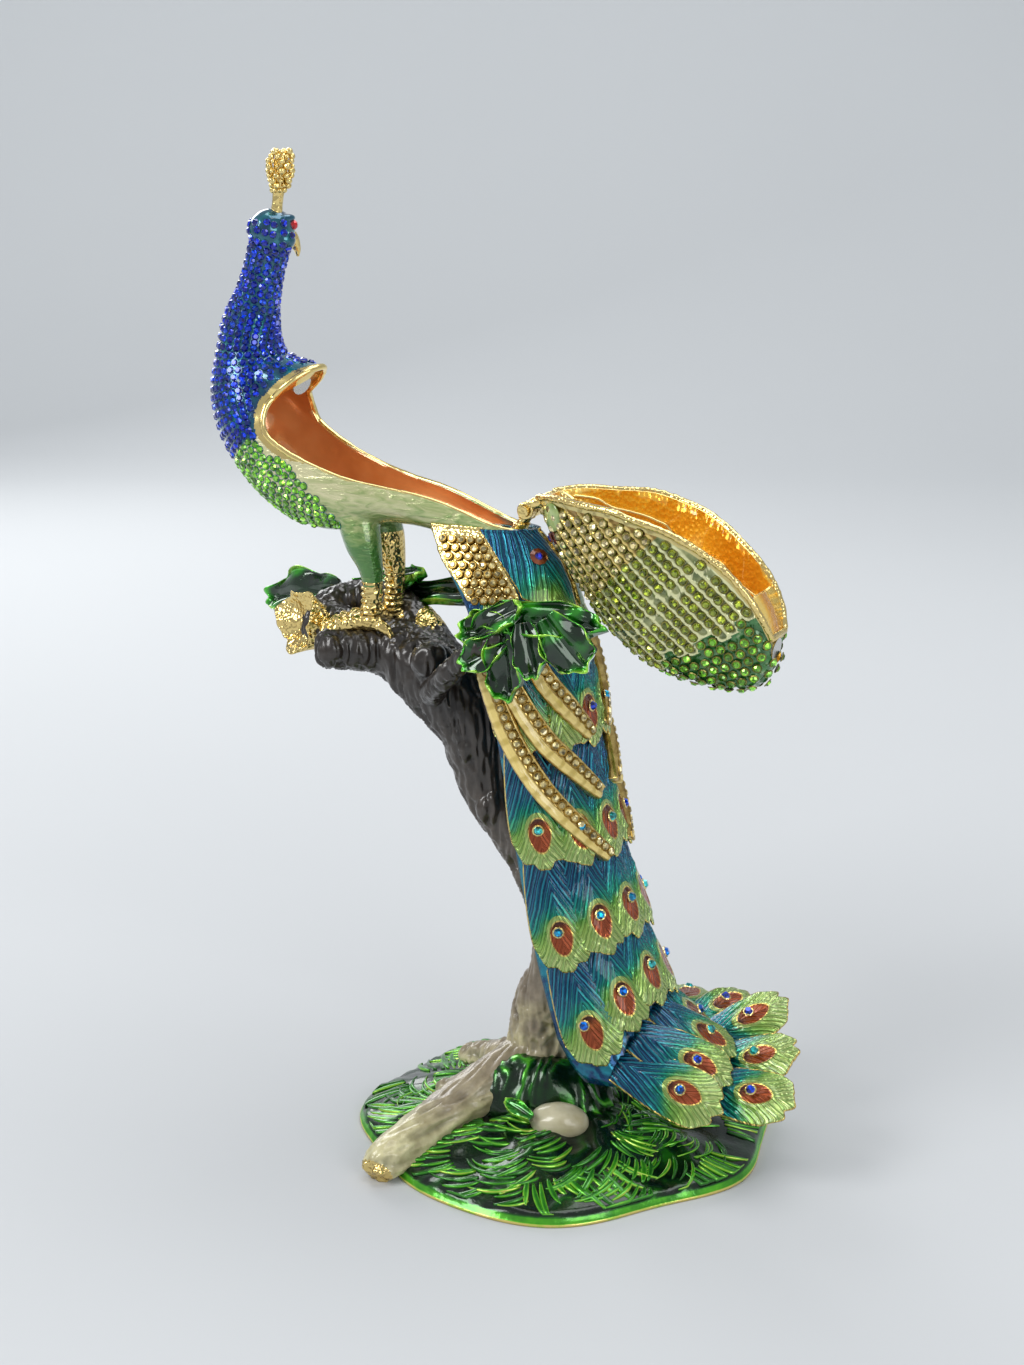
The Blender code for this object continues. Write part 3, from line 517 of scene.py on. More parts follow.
def settled(mesh, *changes):
    """The mesh with modifiers applied, each given as its type and its settings."""
    made = placed("work", mesh)
    for kind, settings in changes:
        change = made.modifiers.new(kind, kind)
        for key, value in settings.items():
            setattr(change, key, value)
    return baked(made)


def fused(meshes, voxel, rounds=4):
    """Overlapping closed shapes run together, as in one casting."""
    return settled(
        joined(meshes),
        ("REMESH", {"mode": "VOXEL", "voxel_size": voxel}),
        ("SMOOTH", {"factor": 0.5, "iterations": rounds}),
    )


def vine(run, radius, start, twist, sunk=0.72, steps=8):
    """A thin limb that winds about a thicker run, partly sunk in it."""
    path = smooth_path(run, steps)
    points = []
    for i, (x, y, z, r) in enumerate(path[:: steps // 2]):
        turn = start + twist * i
        points.append((x + math.cos(turn) * r * sunk, y + math.sin(turn) * r * sunk, z, radius))
    return limb(points, 12, 4, side=(1, 0, 0))


bark_runs = [TRUNK, BRANCH, STUB, KNOB, BACK_BRANCH, FRONT_ROOT, LEFT_ROOT, RIGHT_ROOT, SMALL_ROOT, TWIG]
bark_shapes = [limb(run) for run in bark_runs]
bark_shapes += [
    vine(TRUNK[2:], 2.4, 3.6, 0.14), vine(TRUNK[1:12], 2.0, 5.0, -0.10), vine(TRUNK[3:], 2.2, 1.0, 0.18),
]
bark_shapes += [
    vine(TRUNK[2:13], 1.8, 4.4, 0.05), vine(FRONT_ROOT, 1.8, 3.4, 0.2), vine(FRONT_ROOT, 1.6, 5.4, -0.2),
]
BURLS = [
    ((-18.5, -4.5, 82), (3.6, 3.6, 4.6)), ((-9, -4.5, 66), (2.8, 2.8, 3.6)), ((-24, -6, 97), (3.2, 3, 4.2)),
]
BURLS += [
    ((-29.0, -6.5, 104), (3.2, 3.0, 3.2)), ((-4, -5, 49), (2.4, 2, 3)), ((-42.5, -5.5, 113), (3.6, 3.2, 5.2)),
]
bark_shapes += [ball(centre, radii) for centre, radii in BURLS]
bark = fused(bark_shapes, BARK_VOXEL, 3)
spots = corners(bark)
facing = outward(bark)
upright = clamp((spots[:, 2] - 12) / 20)[:, None]
upright_grain = np.column_stack([spots[:, :2] + 0.12 * spots[:, 2:] * (1, -1), spots[:, 2] * 0.14])
lying_grain = np.column_stack(
    [(spots[:, 0] - 0.3 * spots[:, 1]) * 0.9, spots[:, 1] * 0.14, spots[:, 2] * 0.7]
)
strands = upright_grain * upright + lying_grain * (1 - upright)
grain = 1 - np.abs(swell(strands, 0.42) + 0.4 * swell(strands, 1.0, 5.0)) * 2.4
lumps = swell(spots, 0.2, 9.0)
spots += facing * (0.62 * grain + 0.35 * lumps)[:, None]
spots[:, 2] = np.maximum(spots[:, 2], 0.0)
move_corners(bark, spots)
HEIGHTS = [6, 20, 34, 56, 82, 104]
TONES = [(0.66, 0.62, 0.36), (0.56, 0.50, 0.28), (0.30, 0.245, 0.17), (0.17, 0.14, 0.11)]
TONES += [(0.065, 0.05, 0.038), (0.026, 0.019, 0.014)]
ROOT_CREST_TONE = np.array((0.30, 0.24, 0.17))
tone = np.stack([np.interp(spots[:, 2] + lumps * 12, HEIGHTS, part) for part in zip(*TONES)], axis=1)
from_trunk = np.hypot(spots[:, 0] + 5.5, spots[:, 1])
crest_of_root = clamp(facing[:, 2] * 1.6 - 0.3) * clamp((24 - spots[:, 2]) / 4)
crest_of_root *= clamp((42 - from_trunk) / 10)
tone += (ROOT_CREST_TONE - tone) * (0.8 * crest_of_root)[:, None]
tone *= (0.55 + 0.6 * clamp(0.5 + 0.5 * grain))[:, None]
paint(bark, "tone", np.column_stack([tone, np.ones(len(tone))]))

bark_enamel, tree, shader = finish("bark_enamel", Roughness=0.32, Coat_Weight=0.45, Coat_Roughness=0.15)
wear = ramp(tree, speckle(tree, 300, 4), [(0.35, (0.6, 0.57, 0.52)), (0.7, (1.0, 1.0, 1.0))])
wire(tree, shader, Base_Color=mix(tree, 1.0, read(tree, "tone", "Color"), wear, "MULTIPLY"))
bump(tree, shader, speckle(tree, 450, 3), 0.0003, 0.4)


def open_group(name, kind, way_in, way_out):
    """A node group with its named inputs and outputs, each given as a socket's kind."""
    group = bpy.data.node_groups.new(name, kind)
    for way, sockets in (("INPUT", way_in), ("OUTPUT", way_out)):
        for title, socket in sockets.items():
            group.interface.new_socket(title, in_out=way, socket_type=f"NodeSocket{socket}")
    return group, node(group, "NodeGroupInput").outputs, node(group, "NodeGroupOutput")


def hammered():
    """Colour and height of bright gold plate over a casting with a hammered face."""
    way_out = {"Color": "Color", "Roughness": "Float", "Height": "Float"}
    group, source, drain = open_group(
        "hammered_gold", "ShaderNodeTree", {"Grain": "Float", "Worn": "Float"}, way_out,
    )
    values = {"Vector": own_place(group), "Scale": source["Grain"]}
    dents = node(group, "ShaderNodeTexVoronoi", values, feature="SMOOTH_F1")
    cloud = speckle(group, 160.0, 3.0)
    plate = mix(
        group, maths(group, "MULTIPLY", cloud, source["Worn"]), (0.92, 0.73, 0.30), (0.46, 0.28, 0.07),
    )
    sheen = maths(group, "MULTIPLY_ADD", cloud, 0.2, 0.1)
    wire(group, drain, Color=plate, Roughness=sheen, Height=dents.outputs["Distance"])
    return group


HAMMERED = hammered()


def gold_finish(name, grain, worn, depth):
    made, tree, shader = finish(name, Metallic=1.0)
    plate = node(tree, "ShaderNodeGroup", node_tree=HAMMERED)
    plate.inputs["Grain"].default_value = grain
    plate.inputs["Worn"].default_value = worn
    wire(tree, shader, Base_Color=plate.outputs["Color"], Roughness=plate.outputs["Roughness"])
    bump(tree, shader, plate.outputs["Height"], depth)
    return made


def middles(mesh):
    """The middle of each face, in mm."""
    return np.array([p.center for p in mesh.polygons]) / MM


def set_finishes(mesh, slots):
    mesh.polygons.foreach_set("material_index", slots)
    mesh.update()


patch_gold = gold_finish("patch_gold", 1100, 0.55, 0.0005)
trim_gold = gold_finish("trim_gold", 1500, 0.3, 0.0002)
smooth_gold = gold_finish("smooth_gold", 500, 0.12, 0.0001)
piece("trunk_and_roots", bark, [bark_enamel, patch_gold])
GOLD_PATCHES = [((-27, -52, 2), (6, 4.5, 4)), ((-41.7, 8, 124), (3.2, 6, 7.0))]
GOLD_PATCHES += [((-52.8, 8.8, 126), (2.4, 5, 4)), ((-63.5, -4, 121.5), (3.6, 5, 4.0))]
slots = np.zeros(len(bark.polygons), int)
centres = middles(bark)
for centre, radii in GOLD_PATCHES:
    near = (((centres - centre) / radii) ** 2).sum(axis=1)
    slots[near < 1] = 1
set_finishes(bark, slots)

# The broken end of the branch flares into a ragged gold cup that faces forward.
# Cast with the tree; its dished face is hammered and bright.
CUP_FOOT = np.array((-67.0, 2.6, 119.6))
CUP_MOUTH = np.array((-75.0, -2.5, 122.2))
# Each ring of the cup: how far along it lies, its radius, and how ragged it is
CUP_PROFILE = [(0.0, 5.2, 0), (0.35, 5.6, 0.1), (0.6, 6.2, 0.35), (0.85, 7.0, 0.75), (1.05, 7.9, 1.0)]
CUP_PROFILE += [(1.08, 7.7, 1.0), (0.95, 6.4, 0.8), (0.8, 3.8, 0.4), (0.76, 1.0, 0.1)]
CUP_SIDES = 64
cup_axis = unit(np.array((-0.42, -0.88, 0.2)))
cup_across = unit(np.cross(cup_axis, (0, 0, 1.0)))
cup_up = np.cross(cup_across, cup_axis)
rings = []
for along, radius, ragged in CUP_PROFILE:
    middle = CUP_FOOT + (CUP_MOUTH - CUP_FOOT) * along
    ring = []
    for turn in 2 * math.pi * np.arange(CUP_SIDES) / CUP_SIDES:
        chips = math.sin(3 * turn + 1) + 0.7 * math.sin(7 * turn) + 0.5 * math.sin(13 * turn)
        chip = 1 + 0.10 * ragged * chips
        out = cup_across * math.cos(turn) + cup_up * math.sin(turn)
        ring.append(middle + out * radius * chip + cup_axis * 0.9 * ragged * math.sin(4 * turn + 2))
    rings.append(ring)
piece(
    "branch_cup", settled(skin(rings), ("SUBSURF", {"levels": 1, "render_levels": 1})), [patch_gold],
)

# The rock beside the roots: a rounded beige cone cast with the base.
ROCK_TONES = [(0.3, (0.36, 0.31, 0.17)), (0.7, (0.66, 0.62, 0.44))]
rock_enamel, _, _ = mottled("rock_enamel", 120, ROCK_TONES, 4, Roughness=0.3, Coat_Weight=0.5)
rock = ball((7.5, -19, 9.5), (7.2, 5.2, 4.6), math.radians(20), 48)
spots = corners(rock)
spots[:, 2] = np.maximum(spots[:, 2] + 0.5 * swell(spots, 0.3), 1.0)
move_corners(rock, spots)
piece("rock", rock, [rock_enamel])

# Leaves: a crumpled cluster on the twig, and two by the branch end, cast thin.
# Green enamel, almost black in the folds and bright lime at the curled edges.
leaf_enamel, tree, shader = finish("leaf_enamel", Roughness=0.1, Metallic=0.5, Coat_Weight=1.0)
cloud = maths(tree, "SUBTRACT", speckle(tree, 260, 3), 0.5)
fold = maths(tree, "MULTIPLY_ADD", cloud, 0.5, read(tree, "fold"))
LEAF_TONES = [(0.0, (0.002, 0.008, 0.004)), (0.35, (0.004, 0.035, 0.006)), (0.55, (0.012, 0.20, 0.008))]
LEAF_TONES += [(0.72, (0.05, 0.50, 0.012)), (0.95, (0.40, 0.78, 0.07))]
wire(tree, shader, Base_Color=ramp(tree, fold, LEAF_TONES))
bump(tree, shader, speckle(tree, 500), 0.0003, 0.5)


def plate(upper, lower):
    """A closed mesh between two grids of points, in mm, joined all round their edge."""
    rows, columns = upper.shape[:2]
    top = np.arange(rows * columns).reshape(rows, columns)
    faces = []
    for grid in (top, top[::-1] + rows * columns):
        faces.append(
            np.stack([grid[:-1, :-1], grid[:-1, 1:], grid[1:, 1:], grid[1:, :-1]], -1).reshape(-1, 4)
        )
    rim = np.concatenate([top[0, :-1], top[:-1, -1], top[-1, :0:-1], top[:0:-1, 0]])
    under = rim + rows * columns
    faces.append(np.stack([rim, under, np.roll(under, -1), np.roll(rim, -1)], -1))
    return closed_mesh(np.vstack([upper.reshape(-1, 3), lower.reshape(-1, 3)]), np.vstack(faces).tolist())


def leaf_outline(share):
    return 0.25 + 0.75 * math.sin(math.pi * min(1.0, 0.1 + 0.66 * share))


def leaf(root, direction, normal, length, width, lift, phase, thick=1.3, steps=40, across=14):
    """A crumpled leaf as a closed plate, in mm, and how bright each point of it is."""
    along = unit(np.array(direction, float))
    up = unit(np.array(normal, float) - along * np.dot(normal, along))
    sideways = np.cross(along, up)
    offset = np.linspace(-1, 1, 2 * across + 1)[None, :]
    share = np.linspace(0, 1, steps + 1)[:, None]
    outline = np.array([leaf_outline(s) for s in share[:, 0]])[:, None]
    side_gap = np.abs(offset)
    notch = 1 + 0.05 * np.sin(4 * np.pi * share + phase + 1.3 * (offset > 0)) * side_gap
    round_tip = -0.24 * share**4 * side_gap**2.2 + 0.035 * share**6 * np.sin(7 * offset + phase)
    ruffle = np.sin(3.1 * np.pi * share + phase + np.where(offset > 0, 1.9, 0)) * side_gap**2
    lip = np.maximum(clamp((side_gap - 0.74) / 0.2), clamp((share - 0.88) / 0.1) * np.ones_like(offset))
    crease = -0.10 * width * np.exp(-((offset / 0.2) ** 2))
    height = lift * length * share**2 + 0.09 * width * ruffle + crease + 0.10 * width * lip**2
    place = np.array(root) + (length * (share + round_tip))[..., None] * along
    place = place + (width / 2 * outline * offset * notch * (1 - 0.2 * lip**2))[..., None] * sideways
    place = place + height[..., None] * up
    crumple = swell(place.reshape(-1, 3), 0.14, phase).reshape(height.shape)
    place = place + (1.5 * crumple)[..., None] * up
    edge = (1 + 0.7 * lip - 1.0 * side_gap**16) * thick / 2 * np.ones_like(share)
    raised = clamp(0.15 + 0.9 * ruffle + 1.8 * crumple)
    bright = 0.16 + 0.6 * raised * (0.4 + 0.6 * side_gap) + 0.62 * lip**1.2
    tones = np.concatenate([bright.ravel(), bright.ravel() * 0.6])
    return plate(place + edge[..., None] * up, place - edge[..., None] * up), tones


# Each leaf: its root, the way it runs, the way it faces, its length and width, and how far its tip lifts
LEAVES = [
    ((-71, 11, 127.5), (-26, 3, -3), (0.1, -0.8, 0.6), 27, 15, -0.18),
    ((-54, 14, 128), (26, 0, 2), (0, -0.6, 0.8), 27, 10, 0.1),
    ((-68, 13, 128), (18, 1, 3), (0, -0.5, 0.9), 22, 10, 0.1),
    ((-3, -24, 133), (-13, -1, -1.5), (-0.2, -0.9, 0.4), 13.5, 12, -0.1),
    ((-4, -25.5, 131.5), (-8, -1, -6), (-0.3, -1, 0), 12.5, 10, 0.05),
    ((-9, -24, 134.5), (24, 2, 3), (0, -0.75, 0.7), 27, 12, -0.15),
    ((6, -25, 137.5), (8, -0.5, -9), (0.25, -0.95, 0.2), 15, 14, -0.2),
    ((-5, -25.5, 134), (2, -1, -13), (0, -1, 0.1), 17, 11.5, 0.05),
    ((1, -26.5, 136), (3, -1, -9), (0.1, -0.95, 0.4), 13, 9.5, 0.1),
    ((-12, -25, 131.5), (9, -1, 7), (-0.1, -0.9, 0.4), 14, 9, -0.2),
    ((3, -25, 11.8), (-8, 2, 1.2), (0, -0.5, 0.85), 8, 5, 0.1),
    ((-9, 12, 15), (9, 8, 0), (-0.3, -0.6, 0.7), 12, 6, 0.1),
    ((-12, 14, 13), (-9, 6, 0), (-0.3, -0.6, 0.7), 12, 6, 0.1),
]
leaf_meshes, folds = zip(*[leaf(*row, number * 1.3) for number, row in enumerate(LEAVES)])
leaves = joined(leaf_meshes)
paint(leaves, "fold", np.concatenate(folds))
tree_top = piece("leaves", leaves, [leaf_enamel])
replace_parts(tree_top, "tree")

# The bird's body: neck, breast and hollow trunk with an open back, and the two thighs.
# A thin casting; pearl enamel on the flanks, copper enamel inside, and a gold rim round the opening.
BODY_RUN = [
    (-9, 0, 148.2, 4.2, 3.0), (-16, 0, 149.8, 5.6, 4.2), (-28, 0, 153.0, 7.0, 5.2), (-38, 0, 155.6, 8.4, 6.2),
]
BODY_RUN += [
    (-47, 0, 157.0, 9.8, 7.4), (-56, 0, 158.0, 11.6, 11.2), (-66, 0, 160.5, 12.6, 14.2),
    (-75, 0, 165.5, 13.2, 14.2),
]
BODY_RUN += [
    (-83, 0, 173.0, 12.8, 12.6), (-86.6, 0, 181.5, 10.8, 11.0), (-87.8, 0, 190.5, 7.9, 7.9),
    (-87.0, 0, 197.0, 6.6, 6.6),
]
BODY_RUN += [(-85.0, 0, 203.0, 5.2, 5.2), (-82.8, 0, 210.0, 4.6, 4.6), (-80.4, 0, 217.0, 4.8, 4.8)]
BACK_SHOULDER = [(-80, 0, 183, 9.0, 6.0), (-75, 0, 181.5, 8.8, 6.2), (-69.5, 0, 180.6, 7.6, 6.2)]
HOLLOW_RUN = [p for p in BODY_RUN if -84 < p[0] < -15 and p[2] < 176]
RIM = [
    (-11.5, 151.2), (-16, 152), (-20, 153), (-30, 156.5), (-37.5, 158.4), (-46, 159.7), (-56, 161.7),
    (-67, 165.5),
]
RIM += [
    (-72, 168), (-75.8, 170.7), (-77.2, 173.7), (-77, 178), (-74.6, 180.8), (-72.4, 182.8), (-70, 184.9),
    (-67.7, 186.5),
]
BODY_WALL = 1.4
BODY_VOXEL = 0.00045
THIGH = [(-55, 4.5, 150.5, 5.2), (-53, 5.5, 145, 4.6), (-51.2, 5.5, 139.5, 3.2), (-50.6, 5.5, 134.5, 2.4)]

pearl_enamel, tree, shader = finish("pearl_enamel", Roughness=0.22, Metallic=0.3, Coat_Weight=1.0)
stretched = node(
    tree, "ShaderNodeMapping", {"Vector": own_place(tree), "Scale": (180, 500, 700)},
).outputs["Vector"]
stroke_values = {"Vector": stretched, "Scale": 1.0, "Detail": 3.0, "Distortion": 1.2}
strokes = node(tree, "ShaderNodeTexNoise", stroke_values).outputs["Fac"]
swing = maths(tree, "MULTIPLY", maths(tree, "SUBTRACT", strokes, 0.5), 1.1)
PEARL_TONES = [(0.05, (0.66, 0.62, 0.36)), (0.4, (0.42, 0.47, 0.20))]
PEARL_TONES += [(0.65, (0.20, 0.32, 0.09)), (0.95, (0.06, 0.19, 0.03))]
wire(tree, shader, Base_Color=ramp(tree, maths(tree, "ADD", read(tree, "green"), swing), PEARL_TONES))
bump(tree, shader, strokes, 0.0005, 0.8)

COPPER_TONES = [(0.3, (0.62, 0.23, 0.06)), (0.7, (0.88, 0.42, 0.15))]
copper_look = {"Roughness": 0.2, "Metallic": 0.35, "Coat_Weight": 1.0}
copper_enamel, tree, shader = mottled("copper_enamel", 70, COPPER_TONES, 3, **copper_look)
bump(tree, shader, speckle(tree, 150), 0.0006, 0.5)

BLUE_TONES = [(0.3, (0.0, 0.03, 0.10)), (0.55, (0.0, 0.11, 0.17)), (0.75, (0.01, 0.26, 0.26))]
blue_look = {"Roughness": 0.15, "Metallic": 0.5, "Coat_Weight": 1.0}
blue_enamel, tree, shader = mottled("blue_enamel", 200, BLUE_TONES, 3, **blue_look)
bump(tree, shader, speckle(tree, 500), 0.0003, 0.6)


def mirrored(points, side):
    return [(x, y * side, *rest) for x, y, *rest in points]


def ray_target(mesh):
    return BVHTree.FromPolygons([v.co for v in mesh.vertices], [list(p.vertices) for p in mesh.polygons])


body = fused(
    [limb(BODY_RUN, 48, 10), limb(BACK_SHOULDER, 40, 10), limb(THIGH), limb(mirrored(THIGH, -1))],
    BODY_VOXEL,
)
outer_skin = ray_target(body)
body.materials.append(pearl_enamel)


def prism(outline, depth):
    return skin([[(x, y, z) for x, z in outline] for y in (-depth, depth)])


def helper(mesh, finish_inside):
    mesh.materials.append(finish_inside)
    made = placed("helper", mesh)
    made.hide_render = True
    return made


def cut_by(tool):
    settings = {"object": tool, "operation": "DIFFERENCE", "solver": "EXACT", "material_mode": "TRANSFER"}
    return "BOOLEAN", settings


def finish_slots(mesh):
    """The names of the mesh's finishes, and for each face the number of its finish's name."""
    names = [m.name for m in mesh.materials]
    return names, np.array([names.index(mesh.materials[p.material_index].name) for p in mesh.polygons])


OPENING = RIM + [(-64, 196), (10, 196), (10, 151.2)]
hollow = helper(limb(HOLLOW_RUN, 48, 8, grow=-BODY_WALL), copper_enamel)
opening = helper(prism(OPENING, 30), smooth_gold)
body = settled(body, cut_by(hollow), cut_by(opening))
for tool in (hollow, opening):
    bpy.data.objects.remove(tool)
spots = corners(body)
OPENING_FLOOR = np.array(RIM[:10])
rim_height = np.interp(spots[:, 0], OPENING_FLOOR[::-1, 0], OPENING_FLOOR[::-1, 1])
below_rim = rim_height - spots[:, 2]
rearward = clamp((spots[:, 0] + 68) / 40)
green = clamp(
    0.12 + 0.35 * rearward + 0.055 * np.maximum(below_rim - 5, 0) - 0.25 * clamp((-62 - spots[:, 0]) / 10)
)
paint(body, "green", green)


def neck_side(x, z):
    """Above the line where the blue stones end, falling from the opening's front to the breast."""
    return z > 172 + (x + 76) * 0.62


BLUE_END, COLLAR_START, COLLAR_END, FOOT_TOP = -60, -64, -62, 146.5
names, slots = finish_slots(body)
pearl, gold = names.index("pearl_enamel"), names.index("smooth_gold")
blue, patch = len(names), len(names) + 1
centres = middles(body)
skin_faces = slots == pearl
slots[skin_faces & neck_side(centres[:, 0], centres[:, 2]) & (centres[:, 0] < BLUE_END)] = blue
rim_line = smooth_path(RIM, 6)
from_rim = np.min(
    np.hypot(centres[:, 0, None] - rim_line[:, 0], centres[:, 2, None] - rim_line[:, 1]), axis=1,
)
slots[skin_faces & (from_rim < 1.9 * clamp((COLLAR_START - centres[:, 0]) / 8))] = gold
slots[(slots == gold) & (centres[:, 0] > COLLAR_END)] = pearl
slots[skin_faces & (centres[:, 1] > 1) & (centres[:, 2] < FOOT_TOP)] = patch
bird_body = piece("bird_body", body, [blue_enamel, patch_gold])
set_finishes(body, slots)
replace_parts(bird_body, "peacock")

# Gold rim round the opening: a raised, slightly uneven bead along the cut edge on both sides.
rim_points = {}
for side in (-1, 1):
    rim_points[side] = []
    for x, z in rim_line:
        hit = outer_skin.ray_cast(Vector((x, side * 40, z)) * MM, Vector((0, -side, 0)))[0]
        if hit:
            rim_points[side].append((hit.x / MM, hit.y / MM - side * 0.5, z - 0.1))
loop = rim_points[-1] + rim_points[1][::-1]
rim_path = [(*p, 0.55 + 0.25 * float(p[0] < -66) + 0.12 * noise.noise(Vector(p) * 0.9)) for p in loop]
rim_bead = limb(rim_path, 10, 1, side=(0.3, 0.2, 1))
piece("opening_rim", rim_bead, [smooth_gold])

# Head: looks back over the right shoulder, cheeks and brow raised, blue enamel.
# The beak and the legs are bare gold plate, cast with the body.
HEAD = (-80.4, 0, 218.6)
HEAD_TURN = math.radians(72)
ahead = np.array((math.cos(HEAD_TURN), math.sin(HEAD_TURN), 0))
leftward = np.array((-ahead[1], ahead[0], 0))
head_centre = np.array(HEAD)
head_shapes = [ball(HEAD, (6.0, 4.9, 5.2), HEAD_TURN), limb([BODY_RUN[-2], BODY_RUN[-1]], 24, 6)]
for side in (-1, 1):
    cheek = head_centre + leftward * 4.0 * side + ahead * 1.0 - (0, 0, 2.2)
    brow = head_centre + leftward * 3.3 * side + ahead * 2.0 + (0, 0, 2.9)
    head_shapes.append(ball(cheek, (2.6, 1.9, 2.3), HEAD_TURN))
    head_shapes.append(ball(brow, (2.6, 1.2, 1.0), HEAD_TURN))
head = fused(head_shapes, 0.0003, 3)
piece("head", head, [blue_enamel])
beak_root = head_centre + ahead * 3.4 - (0, 0, 0.6)
beak_run = [(*beak_root, 2.2, 2.2), (*(beak_root + ahead * 2.6 - (0, 0, 1.6)), 1.7, 1.8)]
beak_run += [(*(beak_root + ahead * 4.2 - (0, 0, 4.2)), 0.9, 1.0)]
beak_run += [(*(beak_root + ahead * 4.4 - (0, 0, 5.8)), 0.4, 0.4)]
piece("beak", limb(beak_run, 24, 10, side=leftward), [trim_gold])

# Legs: scaly gold shanks with rings, three toes forward and a spur, gripping the branch.
leg_gold = gold_finish("leg_gold", 750, 0.7, 0.0006)
leg_meshes = []
for side in (-1, 1):
    y = 5.5 * side
    foot = np.array((-52.2, y, 125.2))
    shank = [(-50.6, y, 136, 2.3), (-50.6, y, 132.5, 2.4), (-51.4, y, 129, 2.3), (*foot, 2.7)]
    leg_meshes.append(limb(shank))
    for ring in range(7):
        leg_meshes.append(ball((-50.8 - 0.1 * ring, y, 135.5 - 1.55 * ring), (2.75, 2.75, 0.75)))
    for turn in (-34, 0, 34):
        out = np.array((-math.cos(math.radians(turn)), math.sin(math.radians(turn)), 0))
        toe = [(*foot, 2.1), (*(foot + out * 4.6 - (0, 0, 0.2)), 1.9)]
        toe += [(*(foot + out * 7.6 - (0, 0, 1.8)), 1.6), (*(foot + out * 8.6 - (0, 0, 4.2)), 1.0)]
        leg_meshes.append(limb(toe, 16, 6))
        for knuckle in range(4):
            at = foot + out * (2.5 + 1.5 * knuckle) + (0, 0, 0.2)
            leg_meshes.append(ball(at, (0.8, 2.2, 2.0), math.atan2(out[1], out[0])))
    spur = [(*foot, 1.8), (foot[0] + 4.5, y, foot[2] - 1, 1.4), (foot[0] + 6.6, y, foot[2] - 3, 0.8)]
    leg_meshes.append(limb(spur, 16, 6))
piece("legs", fused(leg_meshes, 0.0003, 2), [leg_gold])

# Crest: a gold stalk that opens into a club of small beads.
CREST = [
    (-79.3, 0, 221, 1.7), (-78.6, 0, 225, 1.3), (-77.9, 0, 230, 1.6), (-77.1, 0, 235, 1.7),
    (-76.7, 0, 236.6, 1.2),
]


def scattered(tree, source, instance, **more):
    """Copies of the instance at the points, scaled by their size value, as one mesh."""
    size = node(tree, "GeometryNodeInputNamedAttribute", {"Name": "size"}, data_type="FLOAT")
    values = {"Points": source["Points"], "Instance": instance, "Scale": size.outputs["Attribute"], **more}
    spread = node(tree, "GeometryNodeInstanceOnPoints", values)
    return node(
        tree, "GeometryNodeRealizeInstances", {"Geometry": spread.outputs["Instances"]},
    ).outputs["Geometry"]


def dressed(tree, shape, made_of):
    return node(tree, "GeometryNodeSetMaterial", {"Geometry": shape, "Material": made_of}).outputs["Geometry"]


def bead_tree():
    """Beads of one size, scaled at each point by its size value."""
    way_in = {"Points": "Geometry", "Bead Radius": "Float", "Finish": "Material"}
    tree, source, drain = open_group("crest_beads", "GeometryNodeTree", way_in, {"Geometry": "Geometry"})
    bead = node(tree, "GeometryNodeMeshIcoSphere", {"Radius": source["Bead Radius"], "Subdivisions": 2})
    wire(tree, drain, Geometry=dressed(tree, scattered(tree, source, bead.outputs["Mesh"]), source["Finish"]))
    return tree


def grown(tree, points, values, **inputs):
    """The tree's mesh over points in mm, which carry named values."""
    mesh = bpy.data.meshes.new("places")
    mesh.from_pydata((np.asarray(points) * MM).tolist(), [], [])
    for key, value in values.items():
        paint(mesh, key, value)
    made = placed("places", mesh)
    change = made.modifiers.new("grow", "NODES")
    change.node_group = tree
    sockets = {s.name: s.identifier for s in tree.interface.items_tree if s.in_out == "INPUT"}
    for key, value in inputs.items():
        change[sockets[key.replace("_", " ")]] = value
    result = baked(made)
    result.materials.pop(index=0)
    return result


CLUB_FOOT, CLUB_TOP = np.array((-78.0, 0, 229.0)), np.array((-77.0, 0, 238.0))
BEAD_ROWS, BEADS_AROUND, CREST_LIMIT = 9, 7, 238.95
bead_spots, bead_sizes = [], []
for row in range(BEAD_ROWS):
    share = row / (BEAD_ROWS - 1)
    middle = CLUB_FOOT + (CLUB_TOP - CLUB_FOOT) * share
    girth = 3.0 * math.sin(math.pi * (0.12 + 0.66 * share)) ** 0.7
    for k in range(BEADS_AROUND):
        turn = 2 * math.pi * (k + 0.5 * (row % 2)) / BEADS_AROUND
        bead_spots.append(middle + np.array((math.cos(turn) * girth, math.sin(turn) * girth * 0.9, -0.9)))
        bead_sizes.append(0.8 + 0.25 * math.sin(3.7 * k + row))
beads = grown(bead_tree(), bead_spots, {"size": bead_sizes}, Bead_Radius=0.9 * MM, Finish=trim_gold)
crest = joined([limb(CREST, 20, 6), beads])
move_corners(crest, np.minimum(corners(crest), (np.inf, np.inf, CREST_LIMIT)))
piece("crest", crest, [trim_gold])

# Round faceted stones, foil-backed glass, glued in rows over the neck, breast and belly.
# Each is a low cone with a flat table, set into the enamel or held in a small metal cup.


